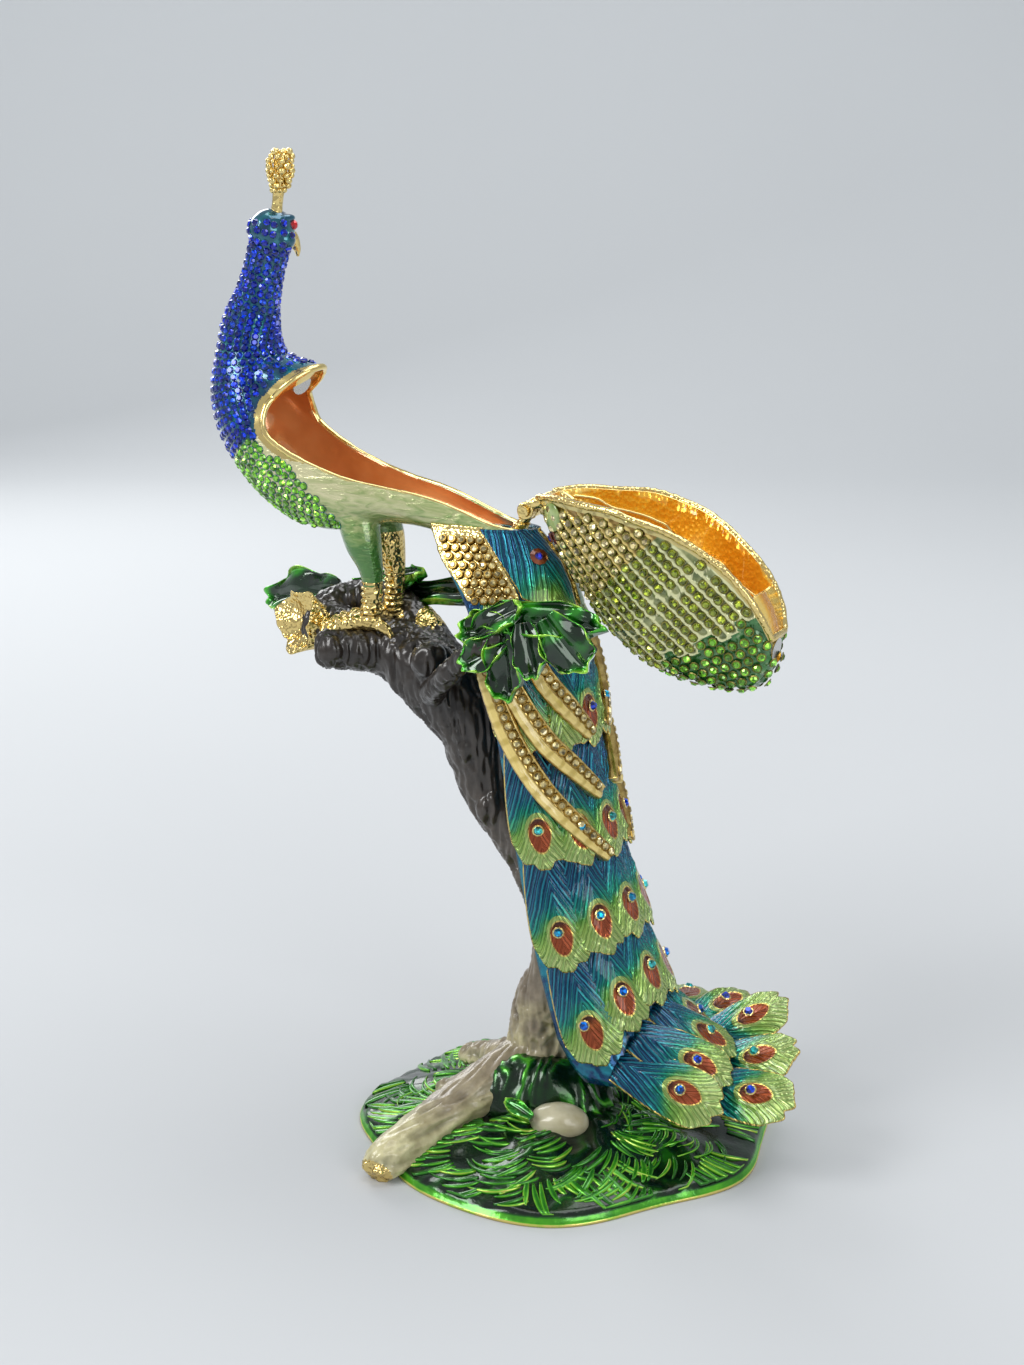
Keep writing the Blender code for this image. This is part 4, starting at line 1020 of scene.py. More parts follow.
def stone_tree():
    """A stone and its cup at each point, turned to its facing and scaled by its size."""
    way_in = {"Points": "Geometry", "Seed": "Int", "Stone": "Material", "Cup": "Material"}
    way_in |= dict.fromkeys(("Radius", "Height", "Table Share", "Cup Share", "Cup Height"), "Float")
    tree, source, drain = open_group("set_stones", "GeometryNodeTree", way_in, {"Geometry": "Geometry"})
    radius = source["Radius"]
    table, wide = (maths(tree, "MULTIPLY", radius, source[share]) for share in ("Table Share", "Cup Share"))
    both = node(tree, "GeometryNodeJoinGeometry")
    for sides, top, bottom, depth, made_of in (
        (8, table, radius, source["Height"], source["Stone"]),
        (10, radius, wide, source["Cup Height"], source["Cup"]),
    ):
        values = {"Vertices": sides, "Radius Top": top, "Radius Bottom": bottom, "Depth": depth}
        cone = node(tree, "GeometryNodeMeshCone", values).outputs["Mesh"]
        wire(tree, both, Geometry=dressed(tree, cone, made_of))
    facing = node(tree, "GeometryNodeInputNamedAttribute", {"Name": "facing"}, data_type="FLOAT_VECTOR")
    upright = node(
        tree, "FunctionNodeAlignRotationToVector", {"Vector": facing.outputs["Attribute"]}, axis="Z",
    )
    limits = {"Seed": source["Seed"], "Min": (-0.06, -0.06, 0), "Max": (0.06, 0.06, 6.2)}
    spin = node(tree, "FunctionNodeRandomValue", limits, data_type="FLOAT_VECTOR")
    tilt = node(tree, "FunctionNodeEulerToRotation", {"Euler": spin.outputs["Value"]})
    both_turns = {"Rotation": upright.outputs["Rotation"], "Rotate By": tilt.outputs["Rotation"]}
    turned = node(tree, "FunctionNodeRotateRotation", both_turns, rotation_space="LOCAL").outputs["Rotation"]
    wire(tree, drain, Geometry=scattered(tree, source, both.outputs["Geometry"], Rotation=turned))
    return tree


STONES = stone_tree()
glass, tree, shader = finish("set_glass", Roughness=0.06, Metallic=0.6, Coat_Weight=1.0, Coat_Roughness=0.02)
facets = node(tree, "ShaderNodeTexVoronoi", {"Vector": own_place(tree), "Scale": 1500.0}).outputs["Color"]
glint = node(tree, "ShaderNodeSeparateColor", {0: facets}).outputs[0]
GLINT_LEVELS = [(0.0, 0.25), (0.6, 1.0), (0.85, 1.7), (1.0, 4.0)]
fire = ramp(tree, glint, [(place, (level, level, level)) for place, level in GLINT_LEVELS])
lit = mix(tree, 1.0, read(tree, "tint", "Color"), fire, "MULTIPLY")
wire(tree, shader, Base_Color=lit, Roughness=maths(tree, "MULTIPLY_ADD", glint, 0.12, 0.03))


def stones(name, rows, cup, body="figurine", radius=1.0, height=0.62, cup_share=1.2, cup_height=0.3):
    """Round stones; each row holds a place in mm, a facing, a size and a colour."""
    places, facings, sizes, tints = zip(*rows)
    values = {
        "facing": facings, "size": sizes, "tint": np.column_stack([np.array(tints), np.ones(len(tints))]),
    }
    measures = {
        "Radius": radius * MM, "Height": height * MM, "Cup_Share": cup_share, "Cup_Height": cup_height * MM,
    }
    mesh = grown(STONES, places, values, **measures, Table_Share=0.55, Seed=5, Stone=glass, Cup=cup)
    return piece(name, mesh, [], body, smooth=False)


def nearest(rows, spot):
    """How far the spot is from the nearest stone of these rows, in mm."""
    return np.linalg.norm(np.array([row[0] for row in rows]) - spot, axis=1).min()


BED_TONES = [(0.3, (0.16, 0.09, 0.015)), (0.7, (0.42, 0.27, 0.06))]
stone_bed, _, _ = mottled("stone_bed", 500, BED_TONES, Metallic=0.9, Roughness=0.3)
SAPPHIRE, PERIDOT = np.array((0.002, 0.014, 0.33)), np.array((0.17, 0.47, 0.03))
path = smooth_path(BODY_RUN, 12)
lengths = np.concatenate([[0], np.cumsum(np.linalg.norm(np.diff(path[:, :3], axis=0), axis=1))])
ROW_STEP, STONE_STEP, FIRST_ROW = 1.78, 2.06, 36.0
BLUE_STONES_END, RIM_CLEARANCE, LEAST_GAP, LEAST_SQUARE = -62, 2.7, 1.72, 0.25


def in_opening(x, z):
    inside = False
    for (x0, z0), (x1, z1) in zip(OPENING, OPENING[1:] + OPENING[:1]):
        if (z0 > z) != (z1 > z) and x < (x1 - x0) * (z - z0) / (z1 - z0) + x0:
            inside = not inside
    return inside


def near_rim(x, z):
    return np.min(np.hypot(rim_line[:, 0] - x, rim_line[:, 1] - z)) < RIM_CLEARANCE


def belly_band(x, z):
    """Green stones on the breast and belly, below a line that falls from the opening to the legs."""
    return -88 < x < -53.5 and 148 < z < 170 - (x + 76) * 1.12 + 1.5


def stone_colour(x, z):
    """Blue or green by where on the skin a stone would lie, or None where there is none."""
    if in_opening(x, z) or near_rim(x, z):
        return None
    if neck_side(x, z) and x < BLUE_STONES_END:
        return SAPPHIRE
    return PERIDOT if belly_band(x, z) else None


random.seed(3)
neck_rows = []
for row, stop in enumerate(np.arange(FIRST_ROW, lengths[-1] - 1.0, ROW_STEP), 1):
    x, y, z, wide, tall = (np.interp(stop, lengths, path[:, c]) for c in range(5))
    ahead_x, ahead_z = (np.interp(stop + 1, lengths, path[:, c]) for c in (0, 2))
    along = Vector((ahead_x - x, 0, ahead_z - z)).normalized()
    up = along.cross(Vector((0, 1, 0)))
    around = max(8, int(2 * math.pi * math.sqrt((wide**2 + tall**2) / 2) / STONE_STEP))
    for k in range(around):
        turn = 2 * math.pi * (k + 0.5 * (row % 2)) / around
        out = (Vector((0, 1, 0)) * math.cos(turn) / wide + up * math.sin(turn) / tall).normalized()
        far = Vector((x, y, z)) + (
            Vector((0, 1, 0)) * math.cos(turn) * wide + up * math.sin(turn) * tall
        ) * 1.5
        hit, normal, _, _ = outer_skin.ray_cast(far * MM, (Vector((x, y, z)) - far).normalized())
        if not hit:
            continue
        spot = tuple(hit / MM)
        base = stone_colour(spot[0], spot[2])
        if base is None:
            continue
        size = random.uniform(0.94, 1.03)
        tint = base * random.uniform(0.6, 1.5)
        if base is SAPPHIRE:
            tint = tint + np.array((0.0, 0.03, 0.1)) * random.random()
        neck_rows.append((spot, tuple(normal), size, tint))


def add_stone(start, toward, skin_tree, always=False):
    """One more neck or belly stone where a line meets the skin, if no other stone is near."""
    hit, normal, _, _ = skin_tree.ray_cast(Vector(start) * MM, Vector(toward))
    if not hit or abs(normal.dot(Vector(toward))) < LEAST_SQUARE:
        return
    spot = np.array(hit) / MM
    base = SAPPHIRE if always else stone_colour(spot[0], spot[2])
    if base is None or nearest(neck_rows, spot) < LEAST_GAP:
        return
    size = random.uniform(0.94, 1.03)
    neck_rows.append((tuple(spot), tuple(normal), size, base * random.uniform(0.6, 1.5)))


SIDE_STEP, HEAD_STONES, GOLDEN_TURN = 2.02, 150, 2.39996
for row, z in enumerate(np.arange(150.0, 216.0, SIDE_STEP * 0.87)):
    for x in np.arange(-97.0 + SIDE_STEP / 2 * (row % 2), -52.0, SIDE_STEP):
        add_stone((x, -40, z), (0, 1, 0), outer_skin)
        add_stone((x, 40, z), (0, -1, 0), outer_skin)
for row, y in enumerate(np.arange(-8.0, 8.1, SIDE_STEP * 0.87)):
    for z in np.arange(182.0 + SIDE_STEP / 2 * (row % 2), 216, SIDE_STEP):
        add_stone((-50, y, z), (-1, 0, 0), outer_skin)
    for x in np.arange(-86.0 + SIDE_STEP / 2 * (row % 2), -66.0, SIDE_STEP):
        add_stone((x, y, 197), (0, 0, -1), outer_skin)
head_skin = ray_target(head)
for k in range(HEAD_STONES):
    rise = 1 - 2 * (k + 0.5) / HEAD_STONES
    turn = GOLDEN_TURN * k
    out = np.array((math.cos(turn) * math.sqrt(1 - rise**2), math.sin(turn) * math.sqrt(1 - rise**2), rise))
    if out @ ahead < 0.3 and rise < 0.42:
        add_stone(head_centre + out * 15, -out, head_skin, True)
stones("neck_stones", neck_rows, blue_enamel, radius=1.04, cup_share=1.04, cup_height=0.1)

# The train: a half tube behind the trunk, covered with rows of overlapping feathers, each with an eye.
# Cast with the body; blue to pale green enamel between engraved barbs, with gold edges.
TRAIN_TOP, TRAIN_FOOT = 151, 22
EDGE_X = [
    (15, 23), (25, 12.0), (31, 7.6), (46, 2.6), (58, -0.8), (66, -2.6), (78, -5.0), (92, -7.6), (104, -9.8),
]
EDGE_X += [(116, -12.4), (126, -15), (134, -18.5), (139, -22), (144, -27), (151, -31)]
DEPTH = [(15, 21.5), (25, 21), (31, 20), (46, 18.6), (58, 17.5), (66, 16.8), (78, 15.8), (104, 15.0)]
DEPTH += [(116, 15.6), (126, 17), (134, 20), (139, 22), (144, 24.5), (151, 22)]
HALF_WIDTH = [(15, 20), (25, 19.5), (31, 19), (46, 18.2), (66, 17.4), (92, 17.2), (116, 17.2), (126, 16.5)]
HALF_WIDTH += [(134, 15.2), (139, 13.5), (144, 11.0), (151, 6.5)]
TRAIN_THICKNESS, FEATHER_THICKNESS = 2.4, 1.6
ROW_TIPS = [(127, 0, 22, 13), (101, 0, 29, 14), (74, 0, 31, 14.5), (49, 5, 30, 15), (26.5, 11, 28, 15.5)]
ROW_TURNS = (-67, -37, -8, 21, 50, 79)
EYE_FROM_TIP = 9.5
FAN = [
    ((12, 20, 30), (4, 34, 20), (-0.3, 0.7, 0.6)),
    ((19, 20, 29), (20, 40, 22), (0.1, 0.6, 0.8)),
    ((26.6, 15, 28), (36, 33, 27), (0.25, 0.1, 1)),
    ((30, 8, 25.5), (50, 24, 31.5), (0.1, -0.35, 0.9)),
    ((33, 2, 24), (60, 4.5, 28), (0.0, -0.5, 0.85)),
    ((36, -8, 24), (63.6, -8, 21.5), (0.15, -0.6, 0.8)),
    ((24.0, 8, 41), (33, 14, 24), (0.9, 0.3, 0.4)),
    ((27.5, -2, 40), (43, 4, 24.5), (0.75, 0.0, 0.65)),
    ((26.5, -13, 36), (46, -6, 22.5), (0.6, -0.45, 0.65)),
    ((23, -19, 30), (47.5, -15, 19.5), (0.4, -0.7, 0.6)),
]
FAN_WIDTH, FAN_EYE_SHARE, ROOT_SUNK = 14.5, 0.6, 4.5


def train_point(z, turn):
    """The half tube's outer face at height z and turn (radians from +X, the bird's left negative)."""
    edge, depth, half = (np.interp(z, *zip(*table)) for table in (EDGE_X, DEPTH, HALF_WIDTH))
    return np.array((edge + depth * math.cos(turn), half * math.sin(turn), z))


def train_frame(z, turn):
    """The face's point with its outward normal."""
    down = unit(train_point(z - 2, turn) - train_point(z + 2, turn))
    around = unit(train_point(z, turn + 0.05) - train_point(z, turn - 0.05))
    return train_point(z, turn), unit(np.cross(around, -down))


# The vane's colour follows three distances in mm: across it, from its stone towards the root, and to its edge
vane_enamel, tree, shader = finish("vane_enamel", Coat_Weight=0.5, Coat_Roughness=0.05)
across, rootward, inward = read_three(tree, "vane")
plain = read(tree, "plain")
cloud = maths(tree, "SUBTRACT", speckle(tree, 230, 3), 0.5)
from_middle = maths(tree, "ABSOLUTE", across)
slant = maths(tree, "MULTIPLY_ADD", rootward, 0.42, from_middle)
barb = maths(tree, "SINE", maths(tree, "MULTIPLY_ADD", cloud, 5.0, maths(tree, "MULTIPLY", slant, 5.0)))
fine_barb = maths(tree, "SINE", maths(tree, "MULTIPLY_ADD", cloud, 9.0, maths(tree, "MULTIPLY", slant, 12.0)))
past_middle = maths(tree, "MAXIMUM", maths(tree, "SUBTRACT", from_middle, 2.5), 0.0)
depth_along = maths(
    tree, "MULTIPLY_ADD", cloud, 6.0, maths(tree, "MULTIPLY_ADD", past_middle, 0.75, rootward),
)
along_share = span(tree, depth_along, -8.0, 12.0)
VANE_TONES = [(0.05, (0.50, 0.62, 0.22)), (0.36, (0.32, 0.50, 0.10)), (0.47, (0.07, 0.28, 0.03))]
VANE_TONES += [(0.58, (0.0, 0.19, 0.12)), (0.72, (0.0, 0.10, 0.18)), (0.95, (0.0, 0.045, 0.14))]
STREAK_TONES = [(0.1, (0.13, 0.30, 0.05)), (0.45, (0.22, 0.42, 0.08))]
STREAK_TONES += [(0.6, (0.01, 0.44, 0.26)), (0.9, (0.01, 0.30, 0.38))]
broad = maths(tree, "MULTIPLY", span(tree, barb, 0.2, 1.0), 0.75)
fine = maths(tree, "MULTIPLY", span(tree, fine_barb, 0.6, 1.0), 0.4)
strokes = maths(tree, "MAXIMUM", broad, fine)
streaked = mix(tree, strokes, ramp(tree, along_share, VANE_TONES), ramp(tree, along_share, STREAK_TONES))
up_oval = maths(tree, "DIVIDE", maths(tree, "ADD", rootward, 1.2), 4.0)
over_oval = maths(tree, "DIVIDE", across, 2.55)
squares = [maths(tree, "POWER", part, 2.0) for part in (up_oval, over_oval)]
oval = maths(tree, "ADD", maths(tree, "SQRT", maths(tree, "ADD", *squares)), plain)
# The eye's brown enamel gets a lighter band across its middle, a painted highlight, and darkens to almost
# black at the root-side end of the sunk oval, painted shade.
EYE_OVAL_TONES_WITH_PAINTED_SHADE = [(0.0, (0.34, 0.065, 0.015)), (0.35, (0.42, 0.10, 0.018)), (0.9, (0.07, 0.014, 0.006))]
brown = ramp(tree, up_oval, EYE_OVAL_TONES_WITH_PAINTED_SHADE)
with_margin = mix(tree, maths(tree, "LESS_THAN", oval, 1.38), streaked, (0.34, 0.48, 0.13))
with_eye = mix(tree, maths(tree, "LESS_THAN", oval, 1.02), with_margin, brown)
ring_share = maths(
    tree, "MULTIPLY", maths(tree, "LESS_THAN", oval, 1.1), maths(tree, "GREATER_THAN", oval, 1.0),
)
gold_share = maths(tree, "MAXIMUM", ring_share, maths(tree, "LESS_THAN", inward, 0.3))
wire(tree, shader, Base_Color=mix(tree, gold_share, with_eye, (0.74, 0.56, 0.16)))
wire(tree, shader, Metallic=maths(tree, "MULTIPLY_ADD", gold_share, 0.4, 0.6))
wire(tree, shader, Roughness=maths(tree, "MULTIPLY_ADD", gold_share, 0.06, 0.15))
bump(tree, shader, maths(tree, "MULTIPLY_ADD", fine_barb, 0.4, barb), 0.00025, 0.9)


def feather_outline(share):
    return 0.5 + 0.5 * np.sin(np.pi * np.minimum(1.0, 0.1 + 0.55 * share))


def vane(root, tip, facing, width, lift, cup, eye_from_tip, plain=0, sunk=0.0, steps=44, across=15):
    """A feather as a closed plate in mm, and each point's distances for its colours."""
    root = np.asarray(root, float)
    run = np.asarray(tip, float) - root
    length = np.linalg.norm(run)
    along = run / length
    up = unit(np.asarray(facing, float) - along * np.dot(facing, along))
    sideways = np.cross(along, up)
    offset = np.linspace(-1, 1, 2 * across + 1)[None, :]
    share = np.linspace(0, 1, steps + 1)[:, None]
    half = width / 2 * feather_outline(share)
    lobes = share**6 * (0.045 * np.abs(np.cos(1.5 * np.pi * offset)) - 0.03)
    notches = 0.012 * share**8 * np.cos(13 * offset + root[1])
    scallop = lobes + notches - 0.17 * share**4 * offset**2
    lateral = half * offset
    from_tip = (1 - share) * length + 0 * offset
    rootward = from_tip - eye_from_tip
    edge_gap = np.minimum((1 - np.abs(offset)) * half, from_tip)
    droop = cup * width * offset**2 * feather_outline(share)
    rise = lift * length * share**2 - sunk * (1 - share) ** 2 - droop
    place = root + (length * (share + scallop))[..., None] * along + lateral[..., None] * sideways
    wobble = swell(place.reshape(-1, 3), 0.25).reshape(rise.shape)
    comb = np.sin((np.abs(lateral) + 0.42 * rootward) * 5.0 + 2.5 * wobble)
    relief = 0.2 * comb * np.minimum(1, edge_gap / 1.2) + 0.25 * wobble
    relief += 0.28 * np.exp(-((lateral / 0.55) ** 2)) * (rootward > 3)
    oval = np.sqrt((lateral / 2.55) ** 2 + ((rootward + 1.2) / 4.0) ** 2)
    if not plain:
        relief = np.where(oval < 1.4, 0.34 - 0.22 * (oval < 1.0), relief)
    edge = (1 - 0.5 * np.abs(offset) ** 3) * (1 - 0.6 * share**12) * FEATHER_THICKNESS / 2
    upper = place + (rise + edge + relief - 0.1)[..., None] * up
    lower = place + (rise - edge)[..., None] * up
    mark = np.stack([lateral, rootward, edge_gap], axis=-1).reshape(-1, 3)
    return plate(upper, lower), np.vstack([mark, mark]), np.full(2 * len(mark), float(plain))


def feathers(name, rows):
    meshes, marks, plains = zip(*rows)
    mesh = joined(meshes)
    paint(mesh, "vane", np.vstack(marks))
    paint(mesh, "plain", 5 * np.concatenate(plains))
    return piece(name, mesh, [vane_enamel])


rings, marks = [], []
for z in np.linspace(TRAIN_TOP, TRAIN_FOOT, 70):
    outer, inner, mark = [], [], []
    for turn in np.radians(np.linspace(-92, 92, 61)):
        here, out = train_frame(z, turn)
        outer.append(here)
        inner.append(here - out * TRAIN_THICKNESS)
        mark.append((here[1] * 0.3, 9, 5))
    rings.append(outer + inner[::-1])
    marks += mark + mark
shell = skin(rings)
paint(shell, "vane", marks)
train_shell = piece("train_shell", shell, [vane_enamel])
for row, (outer_tip_z, arch, length, width) in enumerate(ROW_TIPS, 1):
    made = []
    for turn in np.radians(ROW_TURNS):
        tip_z = outer_tip_z + arch * max(0, math.cos(1.3 * turn))
        here, out = train_frame(tip_z + length, turn)
        tip, tip_out = train_frame(tip_z, turn)
        plain = row == 1 or (row == 2 and turn < -0.5)
        made.append(
            vane(here, tip + tip_out * FEATHER_THICKNESS, out, width, 0.05, 0.15, EYE_FROM_TIP, plain)
        )
    feathers(f"feather_row_{row}", made)
fan = []
for root, tip, facing in FAN:
    run = np.array(tip, float) - root
    eye_from_tip = np.linalg.norm(run) * (1 - FAN_EYE_SHARE)
    fan.append(vane(root, tip, facing, FAN_WIDTH, 0.06, 0.1, eye_from_tip, 0, ROOT_SUNK))
feathers("fan_feathers", fan)

# Rump panels: a textured gold band set with rows of pale stones, and a blue feather beside it, on each side.
RUMP_BAND = [(152, -96), (152, -60), (137, -52), (136, -88)]
RUMP_FEATHER = [(151.5, -62), (151.5, -4), (131, -4), (137, -50)]
PANEL_LIFT = 0.9


def panel(corners_at, side, columns, rows, thick):
    """A plate laid on the train between four (height, turn) corners, with its stone places' grid."""
    a, b, c, d = (np.array(p, float) for p in corners_at)
    grid = []
    for v in np.arange(rows + 1) / rows:
        line = []
        for u in np.arange(columns + 1) / columns:
            z, turn = (a * (1 - u) + b * u) * (1 - v) + (d * (1 - u) + c * u) * v
            line.append(train_frame(z, math.radians(turn) * -side))
        grid.append(line)
    rings = [
        [here + out * thick for here, out in line] + [
            here - out * 0.6 for here, out in line[::-1]
        ] for line in grid
    ]
    return skin(rings), grid


CHAMPAGNE = np.array((0.74, 0.60, 0.27))
# The rump feather's grid, where its stone sits in it, and the row its colours are measured from
PLUME_COLUMNS, PLUME_ROWS, EYE_COLUMN, EYE_ROW, COLOUR_ROW = 40, 30, 24, 10, 24
band_meshes, band_spots = [], []
plume_meshes, plume_marks, plume_eyes = [], [], []
for side in (-1, 1):
    mesh, _ = panel(RUMP_BAND, side, 30, 30, PANEL_LIFT)
    band_meshes.append(mesh)
    _, grid = panel(RUMP_BAND, side, 6, 9, PANEL_LIFT)
    for line in grid[2:]:
        band_spots += [(here + out * (PANEL_LIFT + 0.45), out) for here, out in line[1:-1]]
    mesh, grid = panel(RUMP_FEATHER, side, PLUME_COLUMNS, PLUME_ROWS, PANEL_LIFT + 0.3)
    plume_meshes.append(mesh)
    here, out = grid[EYE_ROW][EYE_COLUMN]
    plume_eyes.append((here + out * (PANEL_LIFT + 0.6), out))
    for i in range(PLUME_ROWS + 1):
        mark = []
        for k in range(PLUME_COLUMNS + 1):
            edge_gap = min(k, PLUME_COLUMNS - k, PLUME_ROWS - i) * 0.5
            mark.append(((k - EYE_COLUMN) * 0.42, (COLOUR_ROW - i) * 0.55, edge_gap))
        plume_marks += mark + mark[::-1]
band = joined(band_meshes)
spots = corners(band)
spots += outward(band) * (0.3 * swell(spots, 0.9))[:, None]
move_corners(band, spots)
piece("rump_bands", band, [trim_gold])
plumes = joined(plume_meshes)
paint(plumes, "vane", plume_marks)
paint(plumes, "plain", [5.0] * len(plume_marks))
piece("rump_feathers", plumes, [vane_enamel])
random.seed(8)


def pale_stones(name, spots, size):
    stones(name, [(*spot, size, CHAMPAGNE * random.uniform(0.6, 1.2)) for spot in spots], stone_bed)


pale_stones("rump_stones", band_spots, 0.95)
EYE_BROWN_TONES = [(0.3, (0.10, 0.02, 0.008)), (0.7, (0.30, 0.07, 0.02))]
eye_brown, _, _ = mottled("eye_brown", 400, EYE_BROWN_TONES, Roughness=0.2, Metallic=0.5, Coat_Weight=1.0)
eye_rows = [(*spot, 1.15, SAPPHIRE) for spot in plume_eyes]
stones("rump_eye_stones", eye_rows, eye_brown, cup_share=1.9, cup_height=0.2)

# Slim gold feathers that run down and round the upper train, each with one row of pale stones.
SLIM_RUNS = [
    [(122, -86), (117, -83), (105, -75), (93, -59), (83, -38), (74.7, -18)],
    [(124, -72), (117, -68), (105, -52), (97, -33), (89.7, -14)],
    [(126, -52), (119, -45), (111, -29), (104, -13)],
]
SLIM_HALF, SLIM_RISE, STONE_SIDE = 2.8, 3.8, 0.36


def strip(run, side):
    """One slim feather: a plate along (height, turn) points, its marks and the line its stones follow."""
    upper, lower, marks, line = [], [], [], []
    path = smooth_path([(z, math.radians(turn * side)) for z, turn in run], 14)
    frames = [train_frame(z, turn) for z, turn in path]
    offset = np.linspace(-1, 1, 21)
    for i, (here, out) in enumerate(frames):
        along = unit(frames[min(i + 1, len(frames) - 1)][0] - frames[max(i - 1, 0)][0])
        beside = np.cross(out, along) * side
        share = i / (len(frames) - 1)
        half = SLIM_HALF * (0.35 + 0.65 * math.sin(math.pi * min(1, 0.15 + 0.7 * share)))
        lobe = 0.22 * abs(math.sin(0.675 * i))
        round_band = np.where(
            offset < 0, 0.5 * np.sin(np.pi * np.clip(-offset, 0, 1)) + lobe * (offset < -0.5), 0,
        )
        wall = sum(0.35 * np.exp(-(((offset - place) / 0.09) ** 2)) for place in (0.95, -0.02))
        height = SLIM_RISE + round_band + wall
        upper.append(here + np.outer(offset * half, beside) + np.outer(height, out))
        lower.append(here + np.outer(offset * half, beside) - out * 0.4)
        marks += [(u, i * 0.5, (1 - abs(u)) * half) for u in offset]
        line.append(here + beside * half * STONE_SIDE + out * (SLIM_RISE + 0.2))
    return plate(np.array(upper), np.array(lower)), marks + marks, np.array(line), [out for _, out in frames]


slim_enamel, tree, shader = finish("slim_enamel", Roughness=0.18, Coat_Weight=0.8)
aside, stretch, inward = read_three(tree, "strip")
along_waves = maths(tree, "MULTIPLY", stretch, 2.7)
waves = maths(tree, "SINE", maths(tree, "MULTIPLY_ADD", speckle(tree, 300), 4.0, along_waves))
cream = ramp(tree, waves, [(0.1, (0.80, 0.62, 0.20)), (0.9, (0.58, 0.43, 0.10))])
ochre = ramp(tree, speckle(tree, 600), [(0.3, (0.36, 0.22, 0.04)), (0.7, (0.78, 0.58, 0.18))])
metal_share = maths(tree, "GREATER_THAN", aside, -0.16)
outline_share = maths(tree, "LESS_THAN", inward, 0.3)
gold_share = maths(tree, "MAXIMUM", metal_share, outline_share)
wire(
    tree, shader, Base_Color=mix(tree, gold_share, cream, ochre),
    Metallic=maths(tree, "MULTIPLY", gold_share, 0.9),
)

SLIM_STONE_STEP = 2.3
slim_meshes, slim_marks, slim_spots = [], [], []
for run in SLIM_RUNS:
    for side in (1, -1):
        mesh, marks, line, outs = strip(run, side)
        slim_meshes.append(mesh)
        slim_marks += marks
        reach = np.concatenate([[0], np.cumsum(np.linalg.norm(np.diff(line, axis=0), axis=1))])
        for stop in np.arange(1.2, reach[-1] - 0.6, SLIM_STONE_STEP):
            place = [np.interp(stop, reach, part) for part in line.T]
            slim_spots.append((place, outs[int(np.searchsorted(reach, stop))]))
slim = joined(slim_meshes)
paint(slim, "strip", slim_marks)
piece("slim_feathers", slim, [slim_enamel])
pale_stones("slim_stones", slim_spots, 1.15)

# Each feather's eye holds one larger blue stone in a gold ring.
STONE_COUNT = 32
eye_nodes = [f"train_stone_{number:02d}" for number in range(1, STONE_COUNT + 1)]
AURORA = [np.array(c) for c in ((0.0, 0.03, 0.45), (0.0, 0.12, 0.60), (0.0, 0.28, 0.55), (0.03, 0.42, 0.42))]
eye_rows = []
for name in eye_nodes:
    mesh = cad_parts[name].data
    groups = {}
    for face in mesh.polygons:
        key = tuple(round(c, 2) for c in face.normal)
        groups[key] = groups.get(key, 0) + face.area
    foot = Vector(max(groups, key=groups.get))
    low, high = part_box(name)
    middle = np.array(low + high) / 2 / MM
    eye_rows.append((middle - np.array(foot) * 0.1, -foot, 1.0, random.choice(AURORA)))
eye_cup = {"radius": 1.28, "height": 0.95, "cup_share": 1.15, "cup_height": 0.22}
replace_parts(stones("train_eye_stones", eye_rows, trim_gold, **eye_cup), *eye_nodes)

# The lid: the upper back of the bird, turned over on its hinge, with its own rim, wall and relief.
# Diagonal channels between gold ribs hold pale stones, then olive enamel, then green stones at the tail end.
HINGE = np.array((-9.6, 0, 156.6))
LID_WALL, LID_END_WALL = 1.3, 2.6
LID_STATIONS = [
    (3.5, 3.6, 5.5, -3.0, 4.5),
    (9.6, 4.4, 9.0, -10.5, 8.0),
    (17.8, 4.1, 15.0, -18.3, 11.0),
    (25.4, 3.9, 21.0, -25.8, 13.0),
    (31.6, 2.4, 29.0, -32.3, 13.6),
    (38.6, 0.4, 37.5, -35.8, 12.8),
    (44.6, -2.6, 45.5, -37.4, 11.3),
    (49.3, -5.8, 51.5, -37.6, 10.0),
    (53.5, -9.2, 56.0, -37.0, 9.0),
    (57.5, -13.8, 59.0, -35.5, 8.0),
    (60.3, -18.8, 60.8, -33.0, 6.5),
    (61.8, -23.5, 61.9, -30.5, 4.2),
]
CHANNEL = 2.7


def boat(stations, inset, above, half_ring, steps):
    """The lid's boat shape drawn in by inset, with its open top raised by above, in mm."""
    rings = []
    for rim_x, rim_z, back_x, back_z, half in smooth_path(stations, steps):
        rim = np.array((rim_x, 0, rim_z))
        back = np.array((back_x, 0, back_z))
        depth = unit(rim - back)
        back = back + depth * inset
        width = max(half - inset, 0.6)
        ring = []
        for k in range(half_ring + 1):
            turn = math.pi * k / half_ring
            centre = rim + (back - rim) * math.sin(turn) ** 0.85
            ring.append(centre + (0, width * math.cos(turn), 0))
        if above:
            ring.append(ring[-1] + depth * above)
            ring.append(ring[0] + depth * above)
        rings.append(np.array(ring) + HINGE)
    return rings


def channels(spots):
    """Which channel a point lies in and how far along it, in mm, both seen from the side."""
    x, z = spots[:, 0] - HINGE[0], spots[:, 2] - HINGE[2]
    return (x + z) / math.sqrt(2), (x - z) / math.sqrt(2)


def lobe_ends(lane):
    """How far along each channel its rounded ends lie, for the olive lobes and where they stop."""
    number = np.floor(lane / CHANNEL)
    first = 38.5 + 1.6 * np.sin(2.1 * number)
    last = 47 + 0.28 * lane + 1.8 * np.cos(1.7 * number)
    return first, last


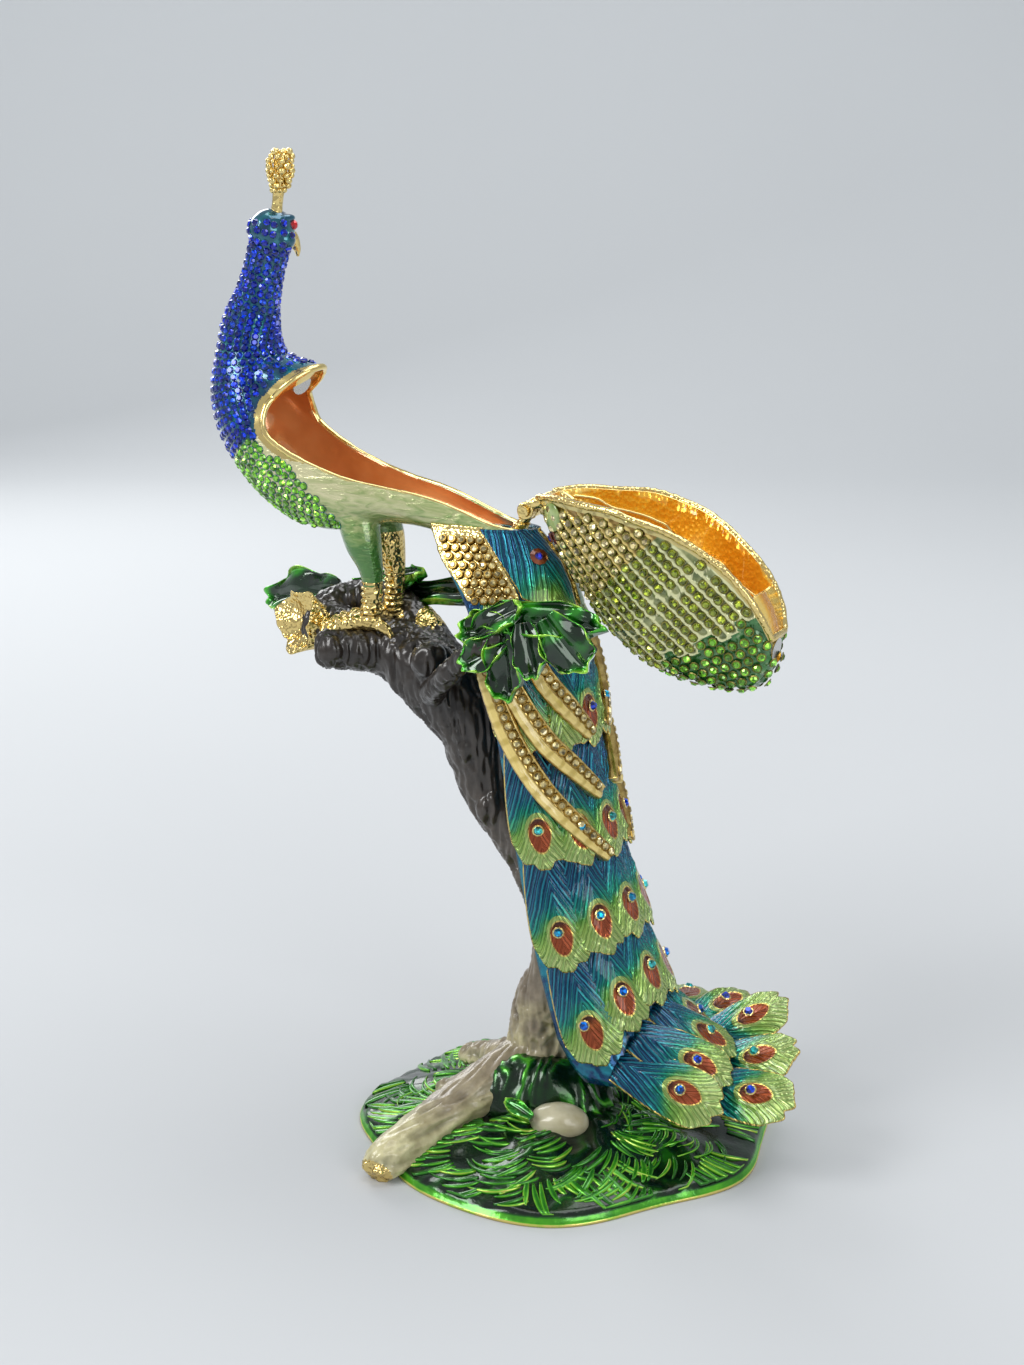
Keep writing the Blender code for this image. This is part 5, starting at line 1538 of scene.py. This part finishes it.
def channel_parts(spots):
    """Distances in mm for relief and colours: to the rib, to the lobe's end, along, and below the rim."""
    lane, reach = channels(spots)
    share = lane / CHANNEL - np.floor(lane / CHANNEL)
    from_rib = np.minimum(share, 1 - share) * CHANNEL
    first, last = lobe_ends(lane)
    to_end = np.where(reach < first, first - reach, last - reach)
    round_end = 1.35 - np.hypot(1.35 - from_rib, np.maximum(0, 1.35 - to_end))
    inside = np.where((to_end < 1.35) & (to_end > -0.5), np.minimum(from_rib, round_end), from_rib)
    rim_gap = np.interp(spots[:, 0] - HINGE[0], *zip(*[s[:2] for s in LID_STATIONS])) + HINGE[2] - spots[:, 2]
    return inside, to_end, reach, rim_gap


lid_outer = skin(boat(LID_STATIONS, 0, 0, 150, 20))
plain_lid = ray_target(lid_outer)
spots = corners(lid_outer)
facing = outward(lid_outer)
inside, to_end, reach, rim_gap = channel_parts(spots)
below_margin = clamp((rim_gap - 1.6) / 0.5)
tail = clamp(-to_end / 1.5) * (reach > 42)
scales = np.abs(np.sin(reach * 0.95) * np.sin(channels(spots)[0] * 1.16))
wall = np.exp(-((inside / 0.4) ** 2)) * (1 - tail)
relief = below_margin * (0.75 * wall + 0.6 * tail * (scales - 0.5) - 0.3) + 0.1 * swell(spots, 0.8)
spots += facing * relief[:, None]
move_corners(lid_outer, spots)

lid_enamel, tree, shader = finish("lid_enamel", Coat_Weight=1.0, Coat_Roughness=0.08)
inside, to_end, reach = read_three(tree, "lane")
cloud = speckle(tree, 300, 3)
wall = span(tree, inside, 0.5, 0.3)
gold_wall = mix(tree, wall, (0.30, 0.18, 0.03), (0.78, 0.58, 0.17))
pale_bed = ramp(tree, cloud, [(0.35, (0.12, 0.16, 0.04)), (0.65, (0.40, 0.42, 0.18))])
pale_wall = mix(tree, wall, pale_bed, (0.74, 0.74, 0.40))
scale_tone = ramp(
    tree, cloud, [(0.3, (0.02, 0.10, 0.02)), (0.6, (0.05, 0.22, 0.05)), (0.75, (0.50, 0.60, 0.32))],
)
tone = mix(tree, maths(tree, "GREATER_THAN", reach, 27.0), gold_wall, pale_wall)
past_lobes = maths(
    tree, "MULTIPLY", maths(tree, "LESS_THAN", to_end, 0.0), maths(tree, "GREATER_THAN", reach, 42.0),
)
tone = mix(tree, past_lobes, tone, scale_tone)
in_margin = maths(tree, "LESS_THAN", read(tree, "margin"), 1.7)
wire(tree, shader, Base_Color=mix(tree, in_margin, tone, (0.62, 0.52, 0.20)))
wire(tree, shader, Metallic=span(tree, reach, 25.0, 29.0, 0.9, 0.3))
wire(tree, shader, Roughness=maths(tree, "MULTIPLY_ADD", cloud, 0.12, 0.14))
bump(tree, shader, speckle(tree, 900), 0.0002, 0.6)

amber_enamel, tree, shader = finish("amber_enamel", Metallic=0.5, Roughness=0.25, Coat_Weight=1.0)
streak_values = {"Vector": own_place(tree), "Scale": 30.0, "Distortion": 6.0, "Detail": 3.0}
streaks = node(tree, "ShaderNodeTexWave", streak_values, bands_direction="Y").outputs["Fac"]
AMBER_TONES = [(0.05, (0.76, 0.32, 0.01)), (0.4, (0.95, 0.50, 0.03)), (0.9, (1.0, 0.72, 0.18))]
wire(tree, shader, Base_Color=ramp(tree, streaks, AMBER_TONES))
crosshatch = node(tree, "ShaderNodeTexVoronoi", {"Vector": own_place(tree), "Scale": 900.0})
bump(tree, shader, crosshatch.outputs["Distance"], 0.0005, 0.6)

lid_outer.materials.append(lid_enamel)
inner = LID_STATIONS[:-1]
inner[0] = tuple(a + (b - a) * 0.35 for a, b in zip(LID_STATIONS[0], LID_STATIONS[1]))
inner[-1] = (*(a - LID_END_WALL * k for a, k in zip(LID_STATIONS[-2], (1, 0, 1, -0.5))), LID_STATIONS[-2][4])
scoop = helper(skin(boat(inner, LID_WALL, 4.0, 60, 8)), amber_enamel)
LID_MAGNET = np.array((61.7, 0, -27.0)) + HINGE
LID_MAGNET_FACING = Vector((1, 0, -0.16)).normalized()


def disc(radius, depth, centre, facing, segments=48):
    shape = bmesh.new()
    radii = {"radius1": radius * MM, "radius2": radius * MM}
    bmesh.ops.create_cone(shape, cap_ends=True, segments=segments, depth=depth * MM, **radii)
    turned = Vector((0, 0, 1)).rotation_difference(Vector(facing)).to_matrix().to_4x4()
    shape.transform(Matrix.Translation(Vector(centre) * MM) @ turned)
    return mesh_of(shape, "disc")


POCKET_RADIUS, POCKET_LENGTH, POCKET_DEPTH = 3.2, 6.0, 1.7
pocket_middle = Vector(LID_MAGNET) + LID_MAGNET_FACING * (POCKET_LENGTH / 2 - POCKET_DEPTH)
lid_pocket = helper(disc(POCKET_RADIUS, POCKET_LENGTH, pocket_middle, LID_MAGNET_FACING), amber_enamel)
lid_shell = settled(lid_outer, cut_by(scoop), cut_by(lid_pocket))
for tool in (scoop, lid_pocket):
    bpy.data.objects.remove(tool)
inside, to_end, reach, rim_gap = channel_parts(corners(lid_shell))
paint(lid_shell, "lane", np.stack([inside, to_end, reach], axis=1))
paint(lid_shell, "margin", rim_gap)
# The faces at the rim that look up are the deck: gold, and amber at the tail end
names, slots = finish_slots(lid_shell)
centres = middles(lid_shell)
faces_up = np.array([p.normal for p in lid_shell.polygons])
_, _, _, deck_gap = channel_parts(centres)
deck = (slots == names.index(lid_enamel.name)) & (np.abs(deck_gap) < 1.0)
deck &= (faces_up[:, 2] > 0.2) & (faces_up[:, 0] + faces_up[:, 2] > 0.6)
tail_deck = centres[:, 0] > inner[-1][0] + HINGE[0] - 1.0
slots[deck & tail_deck] = names.index(amber_enamel.name)
slots[deck & ~tail_deck] = len(names)
lid_piece = piece("lid_shell", lid_shell, [smooth_gold], "lid")
set_finishes(lid_shell, slots)
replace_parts(lid_piece, "lid")

# Gold rim of the lid: a jagged cast edge, both sides and round the tail end.
lid_line = smooth_path(LID_STATIONS, 8)
lid_loop = [(x, half, z) for x, z, _, _, half in lid_line] + [
    (x, -half, z) for x, z, _, _, half in lid_line[::-1]
]
lid_rim = [(*(np.array(p) + HINGE), 0.8 + 0.22 * noise.noise(Vector(p) * 0.8)) for p in lid_loop]
piece("lid_rim", limb(lid_rim, 10, 1, side=(0.3, 0.2, 1)), [trim_gold], "lid")

# Gold veins inside the lid, raised on the amber enamel from the hinge end to the tail end.
vein_rings = np.array(boat(inner, LID_WALL, 0, 60, 8))[6:-4]
veins = []
for start, stop in ((2, 6), (4, 11), (7, 17), (58, 54), (56, 49), (53, 43)):
    steps = np.linspace(start, stop, len(vein_rings)).round().astype(int)
    line = [(*(ring[k] * (1, 0.955, 1)), 0.5) for ring, k in zip(vein_rings, steps)][::3]
    veins.append(limb(line, 10, 3, side=(0.2, 0.3, 1)))
piece("lid_veins", joined(veins), [smooth_gold], "lid")

# Stones of the lid, in single rows along its channels.
OLIVE_TONES = [(0.3, (0.10, 0.11, 0.015)), (0.7, (0.34, 0.30, 0.08))]
olive_bed, _, _ = mottled("olive_bed", 500, OLIVE_TONES, Metallic=0.7, Roughness=0.3)
random.seed(21)
OLIVE = np.array((0.24, 0.30, 0.02))
LANES, LAST_STOP, LID_STONE_STEP, PALE_END = range(-1, 12), 66, 2.4, 26.4
LOBE_END_GAP, RIM_GAP, LEAST_LID_GAP = 0.85, 2.3, 2.15
lid_rows = []


def lid_spot(start, toward, least_square):
    """Where a ray from a point in mm meets the plain lid squarely enough, and the facing there."""
    hit, normal, _, _ = plain_lid.ray_cast(Vector(start) * MM, Vector(toward))
    if not hit or abs(normal.dot(Vector(toward))) < least_square:
        return None
    return np.array(hit) / MM + np.array(normal) * 0.1, tuple(normal)


def set_lid_stone(spot, stop, last):
    """A pale stone near the hinge, olive in the lobes and green past them."""
    base = CHAMPAGNE if stop < PALE_END else OLIVE if stop < last else PERIDOT
    lid_rows.append((*spot, 1.1, base * random.uniform(0.6, 1.3)))


for number in LANES:
    lane = (number + 0.5) * CHANNEL
    first, last = lobe_ends(lane)
    for stop in np.arange(2.0 + 1.2 * (number % 2), LAST_STOP, LID_STONE_STEP):
        x, z = (lane + stop) / math.sqrt(2), (lane - stop) / math.sqrt(2)
        near_end = min(abs(stop - first), abs(stop - last)) < LOBE_END_GAP
        if near_end or z > np.interp(x, *zip(*[s[:2] for s in LID_STATIONS])) - RIM_GAP:
            continue
        for side in (-1, 1):
            spot = lid_spot((x + HINGE[0], side * 40, z + HINGE[2]), (0, -side, 0), 0.12)
            if spot:
                set_lid_stone(spot, stop, last)
# The rows from the sides don't reach the keel, so its stones are set from below
for number, x in enumerate(np.arange(9, 60, 2.3)):
    for y in np.arange(-7.8, 8, 2.6) + 1.3 * (number % 2):
        spot = lid_spot((x + HINGE[0], y, 60), (0, 0, 1), 0.3)
        if spot and nearest(lid_rows, spot[0]) >= LEAST_LID_GAP:
            lane, stop = (float(v[0]) for v in channels(spot[0][None]))
            set_lid_stone(spot, stop, lobe_ends(lane)[1])
stones("lid_stones", lid_rows, olive_bed, "lid", cup_share=1.1, cup_height=0.22)

# A smooth green tab where the lid starts, and under it a brown spot with one blue stone, on each side.
TAB, SPOT = (-1.0, 156.5), (-1.5, 151.5)
tab_meshes, spot_rows = [], []
for side in (-1, 1):
    for (x, z), radii in ((TAB, (3.2, 0.7, 3.4)), (SPOT, (2.2, 0.6, 2.6))):
        hit, normal, _, _ = plain_lid.ray_cast(Vector((x, side * 40, z)) * MM, Vector((0, -side, 0)))
        lump = ball((0, 0, 0), radii)
        turned = Vector((0, side, 0)).rotation_difference(normal).to_matrix().to_4x4()
        lump.transform(Matrix.Translation(hit) @ turned)
        tab_meshes.append(lump)
    spot_rows.append((np.array(hit) / MM + np.array(normal) * 0.7, tuple(normal), 1.1, SAPPHIRE))
TAB_TONES = [(0.3, (0.16, 0.26, 0.05)), (0.7, (0.46, 0.56, 0.22))]
tab_green, _, _ = mottled("tab_green", 300, TAB_TONES, Roughness=0.18, Coat_Weight=1.0)
piece("lid_tabs", joined(tab_meshes[::2]), [tab_green], "lid")
piece("lid_spots", joined(tab_meshes[1::2]), [eye_brown], "lid")
stones("lid_spot_stones", spot_rows, eye_brown, "lid")

# The hinge: one gold barrel on the body between two on the lid, with a pin through all three.
BODY_BARREL_ARM = [(-15, 0, 149.5, 1.9, 1.6), (-12.5, 0, 152.6, 1.7, 1.3), (-10.2, 0, 155.8, 1.6, 1.3)]
LID_BARREL_ARM = [(0.4, 0.6, 1.3), (2.4, 2.0, 1.4), (5.6, 2.6, 1.5), (8.5, 1.6, 1.2)]
BARREL_RADIUS, BORE_RADIUS, BARREL_SIDES = 2.1, 1.0, 40


def barrel(middle, length):
    """A tube round the hinge axis with rolled edges."""
    profile = [(-0.5 * length, BORE_RADIUS)]
    for along, out in ((-0.5, -0.25), (-0.42, -0.02), (-0.3, 0.0), (0.3, 0.0), (0.42, -0.02), (0.5, -0.25)):
        profile.append((along * length, BARREL_RADIUS + out))
    profile.append((0.5 * length, BORE_RADIUS))
    rings = []
    for turn in 2 * math.pi * np.arange(BARREL_SIDES) / BARREL_SIDES:
        rings.append([HINGE + (r * math.cos(turn), middle + y, r * math.sin(turn)) for y, r in profile])
    return skin([*rings, rings[0]], closed_ends=False, merged=True)


arm_rings = [ball((x, 0, z), (2.1, 2.1, 0.55)) for x, _, z, _, _ in smooth_path(BODY_BARREL_ARM, 2)[1:4]]
body_hinge = joined([limb(BODY_BARREL_ARM, 24, 8), barrel(0, 4.0), *arm_rings])
piece("body_hinge", body_hinge, [trim_gold])
lid_hinge_parts = []
for side in (-1, 1):
    y = 3.4 * side
    lid_hinge_parts.append(
        limb([(x + HINGE[0], y, z + HINGE[2], 1.0, r) for x, z, r in LID_BARREL_ARM], 20, 6)
    )
    lid_hinge_parts.append(barrel(y, 2.0))
piece("lid_hinge_arms", joined(lid_hinge_parts), [trim_gold], "lid")

# Bought-in parts that stay as they are: the pin, the two magnets and the head's red stones.
nickel, tree, shader = finish("nickel_plate", Metallic=1.0, Base_Color=(0.62, 0.62, 0.61, 1))
wire(tree, shader, Roughness=maths(tree, "MULTIPLY_ADD", speckle(tree, 700), 0.2, 0.16))
RED_TONES = [(0.3, (0.35, 0.0, 0.005)), (0.7, (0.85, 0.01, 0.015))]
red_glass, _, _ = mottled("red_glass", 1200, RED_TONES, Roughness=0.08, Metallic=0.4, Coat_Weight=1.0)
KEPT = [("hinge_pin", trim_gold), ("body_magnet", nickel), ("lid_magnet", nickel)]
KEPT += [("right_eye_stone", red_glass), ("left_eye_stone", red_glass)]
for name, metal in KEPT:
    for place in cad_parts[name].material_slots:
        place.material = metal
